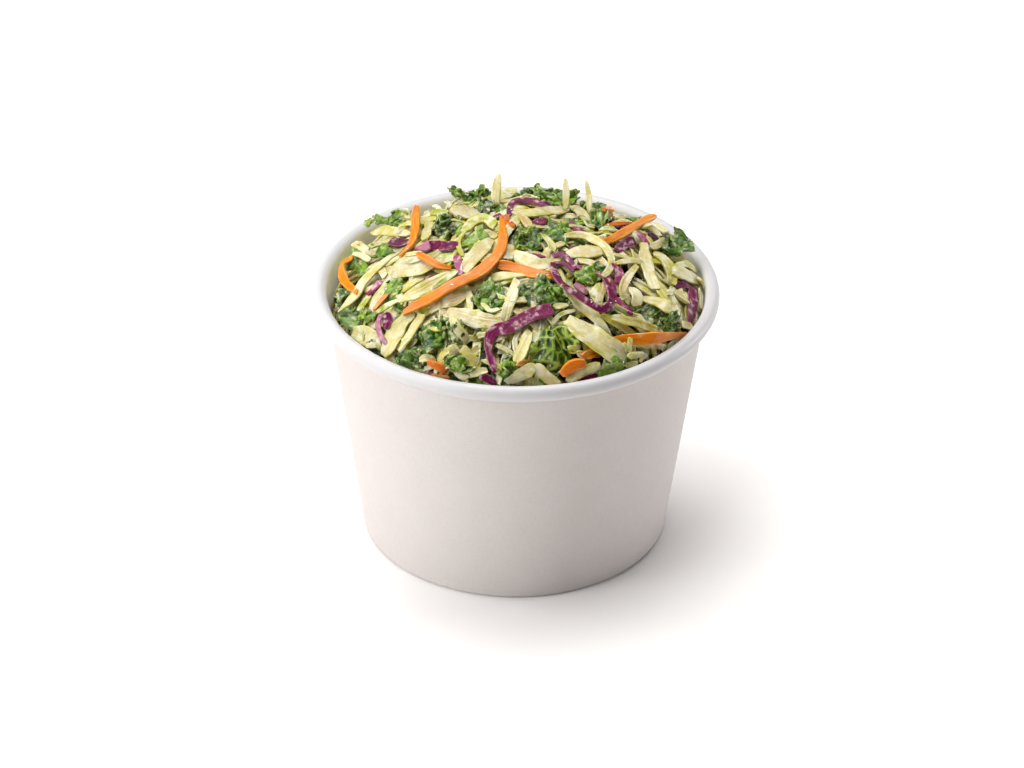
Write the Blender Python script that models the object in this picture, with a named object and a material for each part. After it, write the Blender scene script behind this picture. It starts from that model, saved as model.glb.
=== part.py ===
"""A squat paper cup heaped with creamy kale slaw.

The cup is built the way a real one is: one tapered side wall of paper board, lapped along a
seam at the back, curled outward into a rolled rim at the top and folded up inside itself into
a hem at the bottom, and a base disc whose turned-down skirt is clasped in that hem. The slaw
is one solid out to its uneven outline. Metres, +Z up, origin at the middle of the foot.
"""

import math

import bmesh
import bpy
import numpy as np

# ------------------------------------------------------------------ driving dimensions (metres)
RIM_RADIUS = 0.0450  # outermost edge of the rolled rim: a 90 mm cup
CUP_HEIGHT = 0.0608  # floor to the top of the rolled rim
FOOT_RADIUS = 0.0344  # outer face of the wall at the floor
UNDER_RIM_RADIUS = 0.0422  # outer face of the wall just below the rolled rim
BOARD = 0.0005  # thickness of the coated paper board

RIM_ROLL_WIDTH = 0.0032
RIM_ROLL_HEIGHT = 0.0035
RIM_ROLL_START = math.radians(172)  # where the wall's inner face runs into the roll
RIM_ROLL_END = math.radians(-118)  # where the curled lip stops, just short of the wall

HEM_HEIGHT = 0.0055  # height of the folded edge that clasps the base's skirt
HEM_DEPTH = 0.0020  # outer layer, skirt and folded layer together
HEM_EDGE = 0.0004  # small bevel along the fold, which is the ring that the cup stands on

SKIRT_BOARD = 0.0004  # thickness of the base's skirt
GAP = 0.0003  # clear space between neighbouring pieces

SEAM_WIDTH = 0.0080  # lap of the side seam
SEAM_STEP = 0.00035  # how far the lapped edge stands out
SEAM_EDGE = 0.0004  # over which the lapped edge drops back to the wall
SEAM_ANGLE = math.radians(90)  # the seam is at the back, +Y

HEAP_HEIGHT = 0.0138  # crown of the heap above the rim, before its bumps
HEAP_EDGE_DROP = 0.0032  # how far below the rim the slaw meets the wall
HEAP_FULLNESS = 2.7  # exponent of the dome: 2 is a paraboloid, more is flatter on top
SLAW_CLEARANCE = 0.00035  # between the slaw and the faceted wall

RIDGE_COUNT = 190  # shreds and leaves that show as ridges of the heap's outline
RIDGE_HEIGHT = (0.0012, 0.0031)
RIDGE_HALF_LENGTH = (0.0035, 0.0105)
RIDGE_HALF_WIDTH = (0.0018, 0.0032)
RIDGE_SEED = 41

COLUMNS = 64  # facets round the cup
ROLL_STEPS = 13  # facets along the rim's curl
HEAP_CELLS = 42  # cells across the heap's grid

SEAM_START_ANGLE = SEAM_ANGLE - 0.5 * SEAM_WIDTH / UNDER_RIM_RADIUS
SEAM_END_ANGLE = SEAM_ANGLE + 0.5 * SEAM_WIDTH / UNDER_RIM_RADIUS
SEAM_PEAK_ANGLE = SEAM_END_ANGLE - SEAM_EDGE / UNDER_RIM_RADIUS
WALL_SLOPE = (UNDER_RIM_RADIUS - FOOT_RADIUS) / (CUP_HEIGHT - RIM_ROLL_HEIGHT)
BASE_UNDERSIDE = HEM_HEIGHT + GAP
BASE_TOP = BASE_UNDERSIDE + BOARD


def clear_scene():
    """Remove whatever objects the file holds."""
    for old in list(bpy.data.objects):
        bpy.data.objects.remove(old, do_unlink=True)


def finish_material(name, colour, roughness):
    """A plain Principled finish for one sub-part."""
    material = bpy.data.materials.new(name)
    material.use_nodes = True
    shader = material.node_tree.nodes["Principled BSDF"]
    shader.inputs["Base Color"].default_value = (*colour, 1.0)
    shader.inputs["Roughness"].default_value = roughness
    shader.inputs["Metallic"].default_value = 0.0
    return material


def new_piece(name, bm, material, sharp_angle):
    """Put a bmesh into a named object with its faces outward and its curved faces smooth."""
    bmesh.ops.recalc_face_normals(bm, faces=bm.faces)
    mesh = bpy.data.meshes.new(name)
    bm.to_mesh(mesh)
    bm.free()
    mesh.shade_smooth()
    mesh.set_sharp_from_angle(angle=sharp_angle)
    mesh.materials.append(material)
    piece = bpy.data.objects.new(name, mesh)
    bpy.context.scene.collection.objects.link(piece)
    return piece


def wall_radius(z):
    """Radius of the wall's outer face at height z."""
    return FOOT_RADIUS + WALL_SLOPE * z


# ------------------------------------------------------------------ turned shapes
def column_angles():
    """Angles of the cup's facets: even all round, with both edges of the side seam added."""
    seam = [SEAM_START_ANGLE, SEAM_PEAK_ANGLE, SEAM_END_ANGLE]
    spacing = 2 * math.pi / COLUMNS
    nearest = 0.3 * spacing
    even = [spacing * i for i in range(COLUMNS)]
    kept = [a for a in even if min(abs(a - s) for s in seam) > nearest]
    return sorted(kept + seam)


def seam_offset(angle):
    """Outward step of the lapped seam: rises evenly across the lap, then drops at its edge."""
    if SEAM_START_ANGLE <= angle <= SEAM_PEAK_ANGLE:
        return SEAM_STEP * (angle - SEAM_START_ANGLE) / (SEAM_PEAK_ANGLE - SEAM_START_ANGLE)
    return 0.0


def turn(bm, profile_at, angles):
    """Carry a profile round the Z axis and bridge each ring of points to the next.

    profile_at(angle) gives (radius, z) pairs. A profile whose ends lie on the axis closes there
    in two poles; any other profile is a closed loop.
    """
    first = profile_at(angles[0])
    on_axis = first[0][0] == 0.0
    poles = [bm.verts.new((0.0, 0.0, first[i][1])) for i in (0, -1)] if on_axis else []
    rings = []
    for angle in angles:
        ring = []
        for i, (radius, z) in enumerate(profile_at(angle)):
            if on_axis and i in (0, len(first) - 1):
                ring.append(poles[0] if i == 0 else poles[1])
            else:
                ring.append(bm.verts.new((radius * math.cos(angle), radius * math.sin(angle), z)))
        rings.append(ring)
    for ring, following in zip(rings, rings[1:] + rings[:1]):
        steps = range(len(ring) - 1) if on_axis else range(len(ring))
        for i in steps:
            j = (i + 1) % len(ring)
            corners = [ring[i], following[i], following[j], ring[j]]
            bm.faces.new(list(dict.fromkeys(corners)))


def rim_curl(inset):
    """Points of the rolled rim, from the wall's side over the top to the lip; inset by a board."""
    centre_r = RIM_RADIUS - RIM_ROLL_WIDTH / 2
    centre_z = CUP_HEIGHT - RIM_ROLL_HEIGHT / 2
    half_w = RIM_ROLL_WIDTH / 2 - inset
    half_h = RIM_ROLL_HEIGHT / 2 - inset
    turns = [
        RIM_ROLL_START + (RIM_ROLL_END - RIM_ROLL_START) * i / ROLL_STEPS
        for i in range(ROLL_STEPS + 1)
    ]
    return [(centre_r + half_w * math.cos(a), centre_z + half_h * math.sin(a)) for a in turns]


def sidewall_profile(angle):
    """Cross-section of the side wall: hem, wall and curled rim as one bent strip of board."""
    step = seam_offset(angle)
    outer_foot = FOOT_RADIUS + step
    folded = FOOT_RADIUS - HEM_DEPTH
    lean = WALL_SLOPE * HEM_HEIGHT
    outside_lip = rim_curl(0.0)
    inside_lip = rim_curl(BOARD)
    wall_top = CUP_HEIGHT - RIM_ROLL_HEIGHT
    return [
        (outer_foot - HEM_EDGE, 0.0),
        (outer_foot, HEM_EDGE),
        (wall_radius(wall_top) + step, wall_top),
        *inside_lip,
        *reversed(outside_lip),
        (FOOT_RADIUS - BOARD, BOARD),
        (folded + BOARD, BOARD),
        (folded + BOARD + lean, HEM_HEIGHT),
        (folded + lean, HEM_HEIGHT),
        (folded, HEM_EDGE),
        (folded + HEM_EDGE, 0.0),
    ]


def base_profile(_angle):
    """Cross-section of the base: a flat disc with its edge turned down between the hem's layers."""
    skirt_low = BOARD + GAP
    skirt_face = FOOT_RADIUS - BOARD - GAP
    inner_face = skirt_face - SKIRT_BOARD
    bend = 0.0004
    return [
        (0.0, BASE_TOP),
        (skirt_face + WALL_SLOPE * BASE_TOP - bend, BASE_TOP),
        (skirt_face + WALL_SLOPE * BASE_TOP, BASE_TOP - bend),
        (skirt_face + WALL_SLOPE * skirt_low, skirt_low),
        (inner_face + WALL_SLOPE * skirt_low, skirt_low),
        (inner_face + WALL_SLOPE * BASE_UNDERSIDE, BASE_UNDERSIDE),
        (0.0, BASE_UNDERSIDE),
    ]


# ------------------------------------------------------------------ the heap of slaw
def disc_grid(cells):
    """Points of a unit disc from a square grid, each square ring going to a round ring."""
    steps = np.linspace(-1.0, 1.0, cells + 1)
    a, b = np.meshgrid(steps, steps, indexing="ij")
    wide = np.abs(a) > np.abs(b)
    radius = np.where(wide, a, b)
    quarter = math.pi / 4
    safe_a = np.where(a == 0.0, 1.0, a)
    safe_b = np.where(b == 0.0, 1.0, b)
    turn_angle = np.where(wide, quarter * b / safe_a, 2 * quarter - quarter * a / safe_b)
    return radius * np.cos(turn_angle), radius * np.sin(turn_angle)


def heap_ridges(x, y, edge_radius):
    """Relief of the shreds and leaves: the highest of many soft ridges, each lying its own way."""
    rng = np.random.default_rng(RIDGE_SEED)
    relief = np.zeros_like(x)
    for _ in range(RIDGE_COUNT):
        distance = edge_radius * math.sqrt(rng.uniform(0.0, 1.0))
        bearing = rng.uniform(0.0, 2 * math.pi)
        heading = rng.uniform(0.0, math.pi)
        height = rng.uniform(*RIDGE_HEIGHT)
        half_length = rng.uniform(*RIDGE_HALF_LENGTH)
        half_width = rng.uniform(*RIDGE_HALF_WIDTH)
        dx = x - distance * math.cos(bearing)
        dy = y - distance * math.sin(bearing)
        along = (dx * math.cos(heading) + dy * math.sin(heading)) / half_length
        across = (dy * math.cos(heading) - dx * math.sin(heading)) / half_width
        relief = np.maximum(relief, height * np.exp(-(along**4) - across**2))
    return relief


def heap_height(x, y, edge_radius):
    """Top of the heap: a full dome from below the rim, with the ridges of its shreds on it."""
    share = np.clip(np.hypot(x, y) / edge_radius, 0.0, 1.0)
    edge = CUP_HEIGHT - HEAP_EDGE_DROP
    dome = edge + (HEAP_HEIGHT + HEAP_EDGE_DROP) * (1.0 - share**HEAP_FULLNESS)
    fade = 1.0 - share**12
    return dome + fade * heap_ridges(x, y, edge_radius)


def build_slaw(material):
    """The slaw: the heap's top on a disc grid, a side that follows the wall, and a flat bottom."""
    edge_z = CUP_HEIGHT - HEAP_EDGE_DROP
    edge_radius = wall_radius(edge_z) - BOARD - SLAW_CLEARANCE
    unit_x, unit_y = disc_grid(HEAP_CELLS)
    x = edge_radius * unit_x
    y = edge_radius * unit_y
    z = heap_height(x, y, edge_radius)

    bm = bmesh.new()
    top = [
        [bm.verts.new((x[i, j], y[i, j], z[i, j])) for j in range(HEAP_CELLS + 1)]
        for i in range(HEAP_CELLS + 1)
    ]
    for i in range(HEAP_CELLS):
        for j in range(HEAP_CELLS):
            bm.faces.new((top[i][j], top[i + 1][j], top[i + 1][j + 1], top[i][j + 1]))

    last = HEAP_CELLS
    brim = [top[i][0] for i in range(last)]
    brim += [top[last][j] for j in range(last)]
    brim += [top[i][last] for i in range(last, 0, -1)]
    brim += [top[0][j] for j in range(last, 0, -1)]

    floor_z = BASE_TOP + GAP
    rounding = 0.0015
    levels = [
        (wall_radius(floor_z + rounding) - BOARD - SLAW_CLEARANCE, floor_z + rounding),
        (wall_radius(floor_z) - BOARD - SLAW_CLEARANCE - rounding, floor_z),
    ]
    above = brim
    for radius, level in levels:
        ring = []
        for vert in brim:
            scale = radius / math.hypot(vert.co.x, vert.co.y)
            ring.append(bm.verts.new((vert.co.x * scale, vert.co.y * scale, level)))
        for k in range(len(brim)):
            n = (k + 1) % len(brim)
            bm.faces.new((above[k], above[n], ring[n], ring[k]))
        above = ring
    bm.faces.new(above)
    return new_piece("slaw", bm, material, math.radians(40))


def build_cup_sidewall(material):
    """The side wall with its rolled rim, folded hem and lapped seam."""
    bm = bmesh.new()
    turn(bm, sidewall_profile, column_angles())
    return new_piece("cup_sidewall", bm, material, math.radians(35))


def build_cup_base(material):
    """The base disc with its turned-down skirt."""
    bm = bmesh.new()
    turn(bm, base_profile, column_angles())
    return new_piece("cup_base", bm, material, math.radians(35))


clear_scene()
build_cup_sidewall(finish_material("cup sidewall paper", (0.86, 0.85, 0.84), 0.62))
build_cup_base(finish_material("cup base paper", (0.84, 0.83, 0.82), 0.62))
build_slaw(finish_material("kale slaw", (0.50, 0.55, 0.20), 0.45))
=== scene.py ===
"""Looks of a squat paper cup heaped with creamy kale slaw.

Shapes are worked out in millimetres and become metres when their mesh is made. The heap is built
the way slaw falls: a core, and then shreds and leaves laid down one by one on a height map of what
lies there already. Each bends over what carries it and adds its own thickness to the map. Random
pieces fill the cup; the pieces that the photograph shows are then laid along paths in its pixels,
and small random ones close the gaps between them and cover the side that it doesn't show.
"""

import math

import bpy
import numpy as np
from mathutils import Matrix, Vector


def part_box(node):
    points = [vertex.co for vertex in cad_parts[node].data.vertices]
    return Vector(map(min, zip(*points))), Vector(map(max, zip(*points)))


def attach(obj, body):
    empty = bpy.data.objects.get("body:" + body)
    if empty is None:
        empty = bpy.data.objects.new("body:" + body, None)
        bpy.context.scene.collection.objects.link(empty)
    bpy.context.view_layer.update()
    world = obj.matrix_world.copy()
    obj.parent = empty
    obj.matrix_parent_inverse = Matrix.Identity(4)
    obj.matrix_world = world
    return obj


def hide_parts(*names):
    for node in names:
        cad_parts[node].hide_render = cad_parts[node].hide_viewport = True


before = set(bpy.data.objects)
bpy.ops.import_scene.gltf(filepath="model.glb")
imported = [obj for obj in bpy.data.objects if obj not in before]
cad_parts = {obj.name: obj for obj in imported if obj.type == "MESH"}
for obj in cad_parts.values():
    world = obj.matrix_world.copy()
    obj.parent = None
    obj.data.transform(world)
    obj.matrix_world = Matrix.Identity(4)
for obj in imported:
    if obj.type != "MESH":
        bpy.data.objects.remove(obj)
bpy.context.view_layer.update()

MM = 0.001
TURN = 2 * math.pi

# ------------------------------------------------------------------ sizes, in millimetres
wall_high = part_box("cup_sidewall")[1]
RIM_RADIUS = wall_high.x / MM
CUP_HEIGHT = wall_high.z / MM
FOOT_RADIUS = 34.4
UNDER_RIM_RADIUS = 42.2
ROLL_WIDTH = 3.2
ROLL_HEIGHT = 3.5
BOARD = 0.5
HEM_HEIGHT = 5.5
HEM_DEPTH = 2.0
FOOT_GAP = 0.5  # the folded hem stands clear of the table at its outer edge
SEAM_WIDTH = 8.0
SEAM_STEP = 0.35
WALL_SLOPE = (UNDER_RIM_RADIUS - FOOT_RADIUS) / (CUP_HEIGHT - ROLL_HEIGHT)
BASE_UNDERSIDE = 5.8
BASE_TOP = 6.3

HEAP_RADIUS = 41.2
HEAP_CROWN = 13.6  # of the pieces' tops, above the rim
HEAP_EDGE = -2.4
HEAP_LEAN = np.array([1.2, -2.0])  # higher at the right and at the front, by this much at the wall
HEAP_FULLNESS = 2.3
CORE_DEPTH = 5.6  # of the core under that outline

# ------------------------------------------------------------------ the camera
FRAME_WIDTH, FRAME_HEIGHT = 1024, 768
FOCAL_PIXELS = 3920.4
VIEW_TILT = 0.5586  # radians down from level
VIEW_ROLL = -0.0078
VIEW_DISTANCE = 879.98
VIEW_TARGET = np.array([-0.774, 0.0, 34.46])
SENSOR = 36.0
PIXELS_PER_MM = FOCAL_PIXELS / VIEW_DISTANCE

view_ahead = np.array([0.0, math.cos(VIEW_TILT), -math.sin(VIEW_TILT)])
view_right = np.array([1.0, 0.0, 0.0])
view_up = np.cross(view_right, view_ahead)
view_from = VIEW_TARGET - VIEW_DISTANCE * view_ahead


def sight_lines(pixels):
    """Directions from the camera through pixels of the 1024 by 768 frame, one row for each."""
    offset = np.asarray(pixels, float) - (FRAME_WIDTH / 2, FRAME_HEIGHT / 2)
    c, s = math.cos(VIEW_ROLL), math.sin(VIEW_ROLL)
    right = (offset[:, :1] * c + offset[:, 1:] * s) / FOCAL_PIXELS
    down = (offset[:, 1:] * c - offset[:, :1] * s) / FOCAL_PIXELS
    return view_ahead + right * view_right - down * view_up


def in_picture(points):
    """Pixels at which the camera sees points, and their depths along its view."""
    away = points - view_from
    depth = away @ view_ahead
    right = away @ view_right / depth * FOCAL_PIXELS
    down = -(away @ view_up) / depth * FOCAL_PIXELS
    c, s = math.cos(VIEW_ROLL), math.sin(VIEW_ROLL)
    return right * c - down * s + FRAME_WIDTH / 2, right * s + down * c + FRAME_HEIGHT / 2, depth


def set_camera():
    """The photograph's viewing angle, frame and lens."""
    data = bpy.data.cameras.new("view")
    data.sensor_width = SENSOR
    data.lens = SENSOR * FOCAL_PIXELS / FRAME_WIDTH
    data.clip_end = 20.0
    camera = bpy.data.objects.new("view", data)
    bpy.context.scene.collection.objects.link(camera)
    place = Matrix.Translation([float(v) * MM for v in view_from])
    tilt = Matrix.Rotation(math.pi / 2 - VIEW_TILT, 4, "X")
    camera.matrix_world = place @ tilt @ Matrix.Rotation(-VIEW_ROLL, 4, "Z")
    bpy.context.scene.camera = camera


# ------------------------------------------------------------------ meshes from grids
def outward(points, quads):
    """The quads, turned round if the closed mesh's signed volume is negative."""
    a, b, c, d = (points[quads[:, k]] for k in range(4))
    volume = np.einsum("ij,ij->", a, np.cross(b, c)) + np.einsum("ij,ij->", a, np.cross(c, d))
    return quads if volume > 0 else quads[:, ::-1]


def tube_quads(rings, around, spans):
    """Quads of a tube: from each ring of points to the next, over so many spans between them.

    As many spans as rings bend the tube round into a ring of its own.
    """
    i, k = np.meshgrid(np.arange(spans), np.arange(around), indexing="ij")
    j, n = (i + 1) % rings, (k + 1) % around
    quads = np.stack([i * around + k, i * around + n, j * around + n, j * around + k], -1)
    return quads.reshape(-1, 4)


def strip_quads(stations, around):
    """Quads of a closed strip: rings of points along it, and a ladder of quads at each end.

    A ring's first half runs across the upper side and its second half back across the lower
    side, so the ladder joins point k of the ring to point around - 1 - k.
    """
    rung = np.arange(around // 2 - 1)
    ladder = np.stack([rung, around - 1 - rung, around - 2 - rung, rung + 1], -1)
    far = ladder[:, ::-1] + (stations - 1) * around
    return np.concatenate([tube_quads(stations, around, stations - 1), ladder, far])


def polar(radius, angle, z):
    """Points at radii and angles about the cup's axis, and at heights."""
    return np.stack(np.broadcast_arrays(radius * np.cos(angle), radius * np.sin(angle), z), -1)


SHARP = 48  # degrees, above which an edge of the cup or the core isn't smooth


class Pieces:
    """Closed strips of one kind, gathered into one mesh, with a few numbers at each point."""

    def __init__(self):
        self.points, self.quads, self.numbers, self.count = [], [], {}, 0

    def add(self, grid, **numbers):
        """One strip: a grid of stations by ring points, and arrays that fit its first two axes."""
        stations, around = grid.shape[:2]
        flat = grid.reshape(-1, 3)
        self.points.append(flat)
        self.quads.append(outward(flat, strip_quads(stations, around)) + self.count)
        for name, value in numbers.items():
            value = np.asarray(value, float)
            last = value.shape[2:] if value.ndim > 2 else ()
            spread = np.broadcast_to(value, (stations, around, *last))
            self.numbers.setdefault(name, []).append(spread.reshape(-1, *last))
        self.count += len(flat)

    def build(self, name, material, slot, sharp):
        """Make the kind's object, riding on the cup as part of the slaw."""
        numbers = {key: np.concatenate(rows) for key, rows in self.numbers.items()}
        points, quads = np.concatenate(self.points), np.concatenate(self.quads)
        build_piece(name, points, quads, numbers, material, ["slaw"], sharp)


def build_piece(name, points, quads, numbers, material, stands_for, sharp=SHARP):
    """Make a mesh object at the origin, from points in millimetres, smooth up to sharp degrees."""
    mesh = bpy.data.meshes.new(name)
    mesh.from_pydata(points * MM, [], quads)
    for key, value in numbers.items():
        kind, field = ("FLOAT_VECTOR", "vector") if value.ndim == 2 else ("FLOAT", "value")
        layer = mesh.attributes.new(key, kind, "POINT")
        layer.data.foreach_set(field, value.astype(np.float32).ravel())
    mesh.shade_smooth()
    mesh.set_sharp_from_angle(angle=math.radians(sharp))
    mesh.materials.append(material)
    piece = bpy.data.objects.new(name, mesh)
    bpy.context.scene.collection.objects.link(piece)
    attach(piece, "root")
    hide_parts(*stands_for)


# ------------------------------------------------------------------ lines and vectors
def unit(vectors):
    """The vectors at length one."""
    return vectors / np.maximum(np.linalg.norm(vectors, axis=-1, keepdims=True), 1e-9)


def running_mean(values, reach):
    """Mean over reach neighbours each way along the first axis, carrying the slope past the ends."""
    before = 2 * values[:1] - values[reach:0:-1]
    after = 2 * values[-1:] - values[-2 : -2 - reach : -1]
    padded = np.concatenate([before, values, after])
    total = sum(padded[k : k + len(values)] for k in range(2 * reach + 1))
    return total / (2 * reach + 1)


def length_along(path):
    """The path's length up to each of its points."""
    return np.concatenate([[0], np.cumsum(np.linalg.norm(np.diff(path, axis=0), axis=1))])


def resample(path, steps):
    """The path at even steps of the length of its first two columns."""
    length = length_along(path[:, :2])
    wanted = np.linspace(0, length[-1], steps)
    return np.stack([np.interp(wanted, length, path[:, k]) for k in range(path.shape[1])], -1)


def smooth_path(knots, spacing):
    """A path of even steps on a Catmull-Rom curve through the knots, rows of any width."""
    knots = np.asarray(knots, float)
    p = np.concatenate([2 * knots[:1] - knots[1:2], knots, 2 * knots[-1:] - knots[-2:-1]])
    t = np.linspace(0, 1, 20, endpoint=False)[:, None]
    rows = []
    for a, b, c, d in zip(p, p[1:], p[2:], p[3:]):
        bend = (2 * a - 5 * b + 4 * c - d) * t**2 + (3 * b - a - 3 * c + d) * t**3
        rows.append(0.5 * (2 * b + (c - a) * t + bend))
    curve = np.concatenate([*rows, p[-2:-1]])
    length = np.linalg.norm(np.diff(curve[:, :2], axis=0), axis=1).sum()
    return resample(curve, max(9, int(length / spacing)))


def bowed_path(rng, x, y, heading, length, bow, spacing):
    """A path in the plane whose heading turns by bow along it, with a slower sway on top."""
    steps = max(9, int(length / spacing))
    share = np.linspace(-0.5, 0.5, steps)
    sway = rng.uniform(0.0, 0.5) * np.sin(TURN * (share * rng.uniform(0.6, 1.3) + rng.uniform()))
    turned = heading + bow * share + sway
    step = length / (steps - 1)
    px = np.cumsum(np.cos(turned)) * step
    py = np.cumsum(np.sin(turned)) * step
    return px - px.mean() + x, py - py.mean() + y


def named(values, rows):
    """A table's rows, each as a dictionary of its values by name."""
    return {key: dict(zip(values, row)) for key, row in rows.items()}


def rows_at(values, stations):
    """Rows of an array at fractional stations."""
    low = np.minimum(stations.astype(int), len(values) - 2)
    share = (stations - low).reshape(-1, *[1] * (values.ndim - 1))
    return values[low] * (1 - share) + values[low + 1] * share


# ------------------------------------------------------------------ the heap's height map
MAP_CELL = 0.4
MAP_REACH = 46.0
WALL_CLEARANCE = 0.25
MOST_GAP = 5.0  # by which a piece that the photograph shows may clear the heap
FREE_RADIUS = RIM_RADIUS - ROLL_WIDTH - 0.4  # what stands above the rim keeps off it
CEILING = 79.0  # no middle line lies higher
PICTURE_CELL = 3  # pixels
JUST_BEHIND = 0.1  # what lies this little behind a piece that shows still cuts through it
OVER_COST = 5.0  # of a place past the rim or the ceiling, in millimetres for each millimetre
SIGHT_NEAR, SIGHT_FAR, SIGHT_STEPS = -75.0, 25.0, 340  # of a sight line, from the view's target
# The slaw's upper outline in the photograph, as pixels from the left rim to the right.
CREST = np.array([
    (310, 300), (338, 266), (352, 247), (365, 222), (390, 215), (430, 207), (455, 199), (475, 189),
    (500, 188), (527, 187), (560, 190), (590, 204), (620, 214), (650, 217), (675, 235), (697, 264),
    (715, 300),
])


def wall_inside(z):
    """Radius of the wall's inner face at height z."""
    return FOOT_RADIUS + WALL_SLOPE * np.minimum(z, CUP_HEIGHT) - BOARD


def heap_outline(x, y):
    """Height of the heap's tops: a dome from just under the rim, leaning a little."""
    share = np.clip(np.hypot(x, y) / HEAP_RADIUS, 0.0, 1.0)
    lean = (HEAP_LEAN[0] * x + HEAP_LEAN[1] * y) / HEAP_RADIUS
    return CUP_HEIGHT + HEAP_EDGE + lean + (HEAP_CROWN - HEAP_EDGE) * (1.0 - share**HEAP_FULLNESS)


class HeapMap:
    """Height of whatever lies in the cup, on a square grid that only ever grows.

    Beside it, a coarse picture holds how near to the camera the pieces lie that the photograph
    shows.
    """

    def __init__(self):
        steps = np.arange(-MAP_REACH, MAP_REACH + MAP_CELL / 2, MAP_CELL)
        self.x, self.y = np.meshgrid(steps, steps, indexing="ij")
        self.height = heap_outline(self.x, self.y) - CORE_DEPTH
        self.shown = np.zeros(self.x.shape)
        rows, columns = FRAME_HEIGHT // PICTURE_CELL + 1, FRAME_WIDTH // PICTURE_CELL + 1
        self.nearest = np.full((rows, columns), np.inf)
        self.smooth()

    def smooth(self):
        """A softer copy of the map, for the way the surface leans."""
        soft = self.height
        for _ in range(3):
            soft = running_mean(soft, 3)
            soft = running_mean(soft.T, 3).T
        self.soft = soft
        self.lean_x, self.lean_y = np.gradient(soft, MAP_CELL)

    def read(self, table, x, y):
        """A table's value at x and y, in straight lines between the grid's points."""
        last = len(table) - 1.001
        across = np.clip((x + MAP_REACH) / MAP_CELL, 0, last)
        along = np.clip((y + MAP_REACH) / MAP_CELL, 0, last)
        i, j = across.astype(int), along.astype(int)
        u, v = across - i, along - j
        low = table[i, j] * (1 - u) + table[i + 1, j] * u
        high = table[i, j + 1] * (1 - u) + table[i + 1, j + 1] * u
        return low * (1 - v) + high * v

    def highest(self, x, y, reach):
        """The map's highest value at each place and on a ring round it."""
        top = self.read(self.height, x, y)
        for turn in np.arange(6) * TURN / 6:
            ring = self.read(self.height, x + reach * math.cos(turn), y + reach * math.sin(turn))
            top = np.maximum(top, ring)
        return top

    def normal(self, x, y):
        """Unit normals of the softened surface."""
        slope = [-self.read(self.lean_x, x, y), -self.read(self.lean_y, x, y), np.ones_like(x)]
        return unit(np.stack(slope, -1))

    def cover(self, points, shown):
        """Raise the map to these points, each over the four cells around it, and note what shows."""
        across, along = (points[..., k].ravel() / MAP_CELL + MAP_REACH / MAP_CELL for k in (0, 1))
        z = points[..., 2].ravel()
        last = len(self.x) - 2
        i, j = (np.clip(np.floor(v).astype(int), 0, last) for v in (across, along))
        for di, dj in ((0, 0), (1, 0), (0, 1), (1, 1)):
            np.maximum.at(self.height, (i + di, j + dj), z)
            if shown:
                self.shown[i + di, j + dj] = 1.0
        if shown:
            px, py, depth = in_picture(points.reshape(-1, 3))
            np.minimum.at(self.nearest, self.picture_cell(px, py), depth)

    def picture_cell(self, px, py):
        """Row and column of the coarse picture for pixels."""
        rows, columns = self.nearest.shape
        row = np.clip(py / PICTURE_CELL, 0, rows - 1).astype(int)
        return row, np.clip(px / PICTURE_CELL, 0, columns - 1).astype(int)

    def in_the_way(self, points):
        """The share of points that would hide what the photograph shows, or rise over its crest."""
        px, py, depth = in_picture(points.reshape(-1, 3))
        nearest = self.nearest[self.picture_cell(px, py)]
        hides = (depth < nearest + JUST_BEHIND) & np.isfinite(nearest)
        return (hides | (py < np.interp(px, *CREST.T))).mean()

    def seen(self, pixels, reach, rise):
        """Where sight lines through pixels come down on the heap, and by how much they clear it.

        The heap is taken as the highest of the map within reach, plus rise. A line that passes over
        it gives the place where it passes closest, and the gap there.
        """
        ahead = sight_lines(pixels)
        depth = np.linspace(VIEW_DISTANCE + SIGHT_NEAR, VIEW_DISTANCE + SIGHT_FAR, SIGHT_STEPS)
        x, y, z = (view_from[k] + ahead[:, k : k + 1] * depth for k in range(3))
        clear = z - self.highest(x, y, reach) - rise
        above = clear + OVER_COST * np.maximum(np.hypot(x, y) - FREE_RADIUS, 0.0)
        above = above + OVER_COST * np.maximum(z - CEILING, 0.0)
        under = above < 0
        first = np.where(under.any(1), under.argmax(1), above.argmin(1))
        rows = np.arange(len(ahead))
        return x[rows, first], y[rows, first], np.clip(clear[rows, first], 0.0, MOST_GAP)


def into_cup(grid):
    """The grid with whatever would pass through the wall or over the rim pressed back."""
    radius = np.hypot(grid[..., 0], grid[..., 1])
    room = np.minimum(wall_inside(grid[..., 2]) - WALL_CLEARANCE, FREE_RADIUS)
    shrink = np.minimum(1.0, room / np.maximum(radius, 1e-6))
    return np.concatenate([grid[..., :2] * shrink[..., None], grid[..., 2:]], -1)


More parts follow.
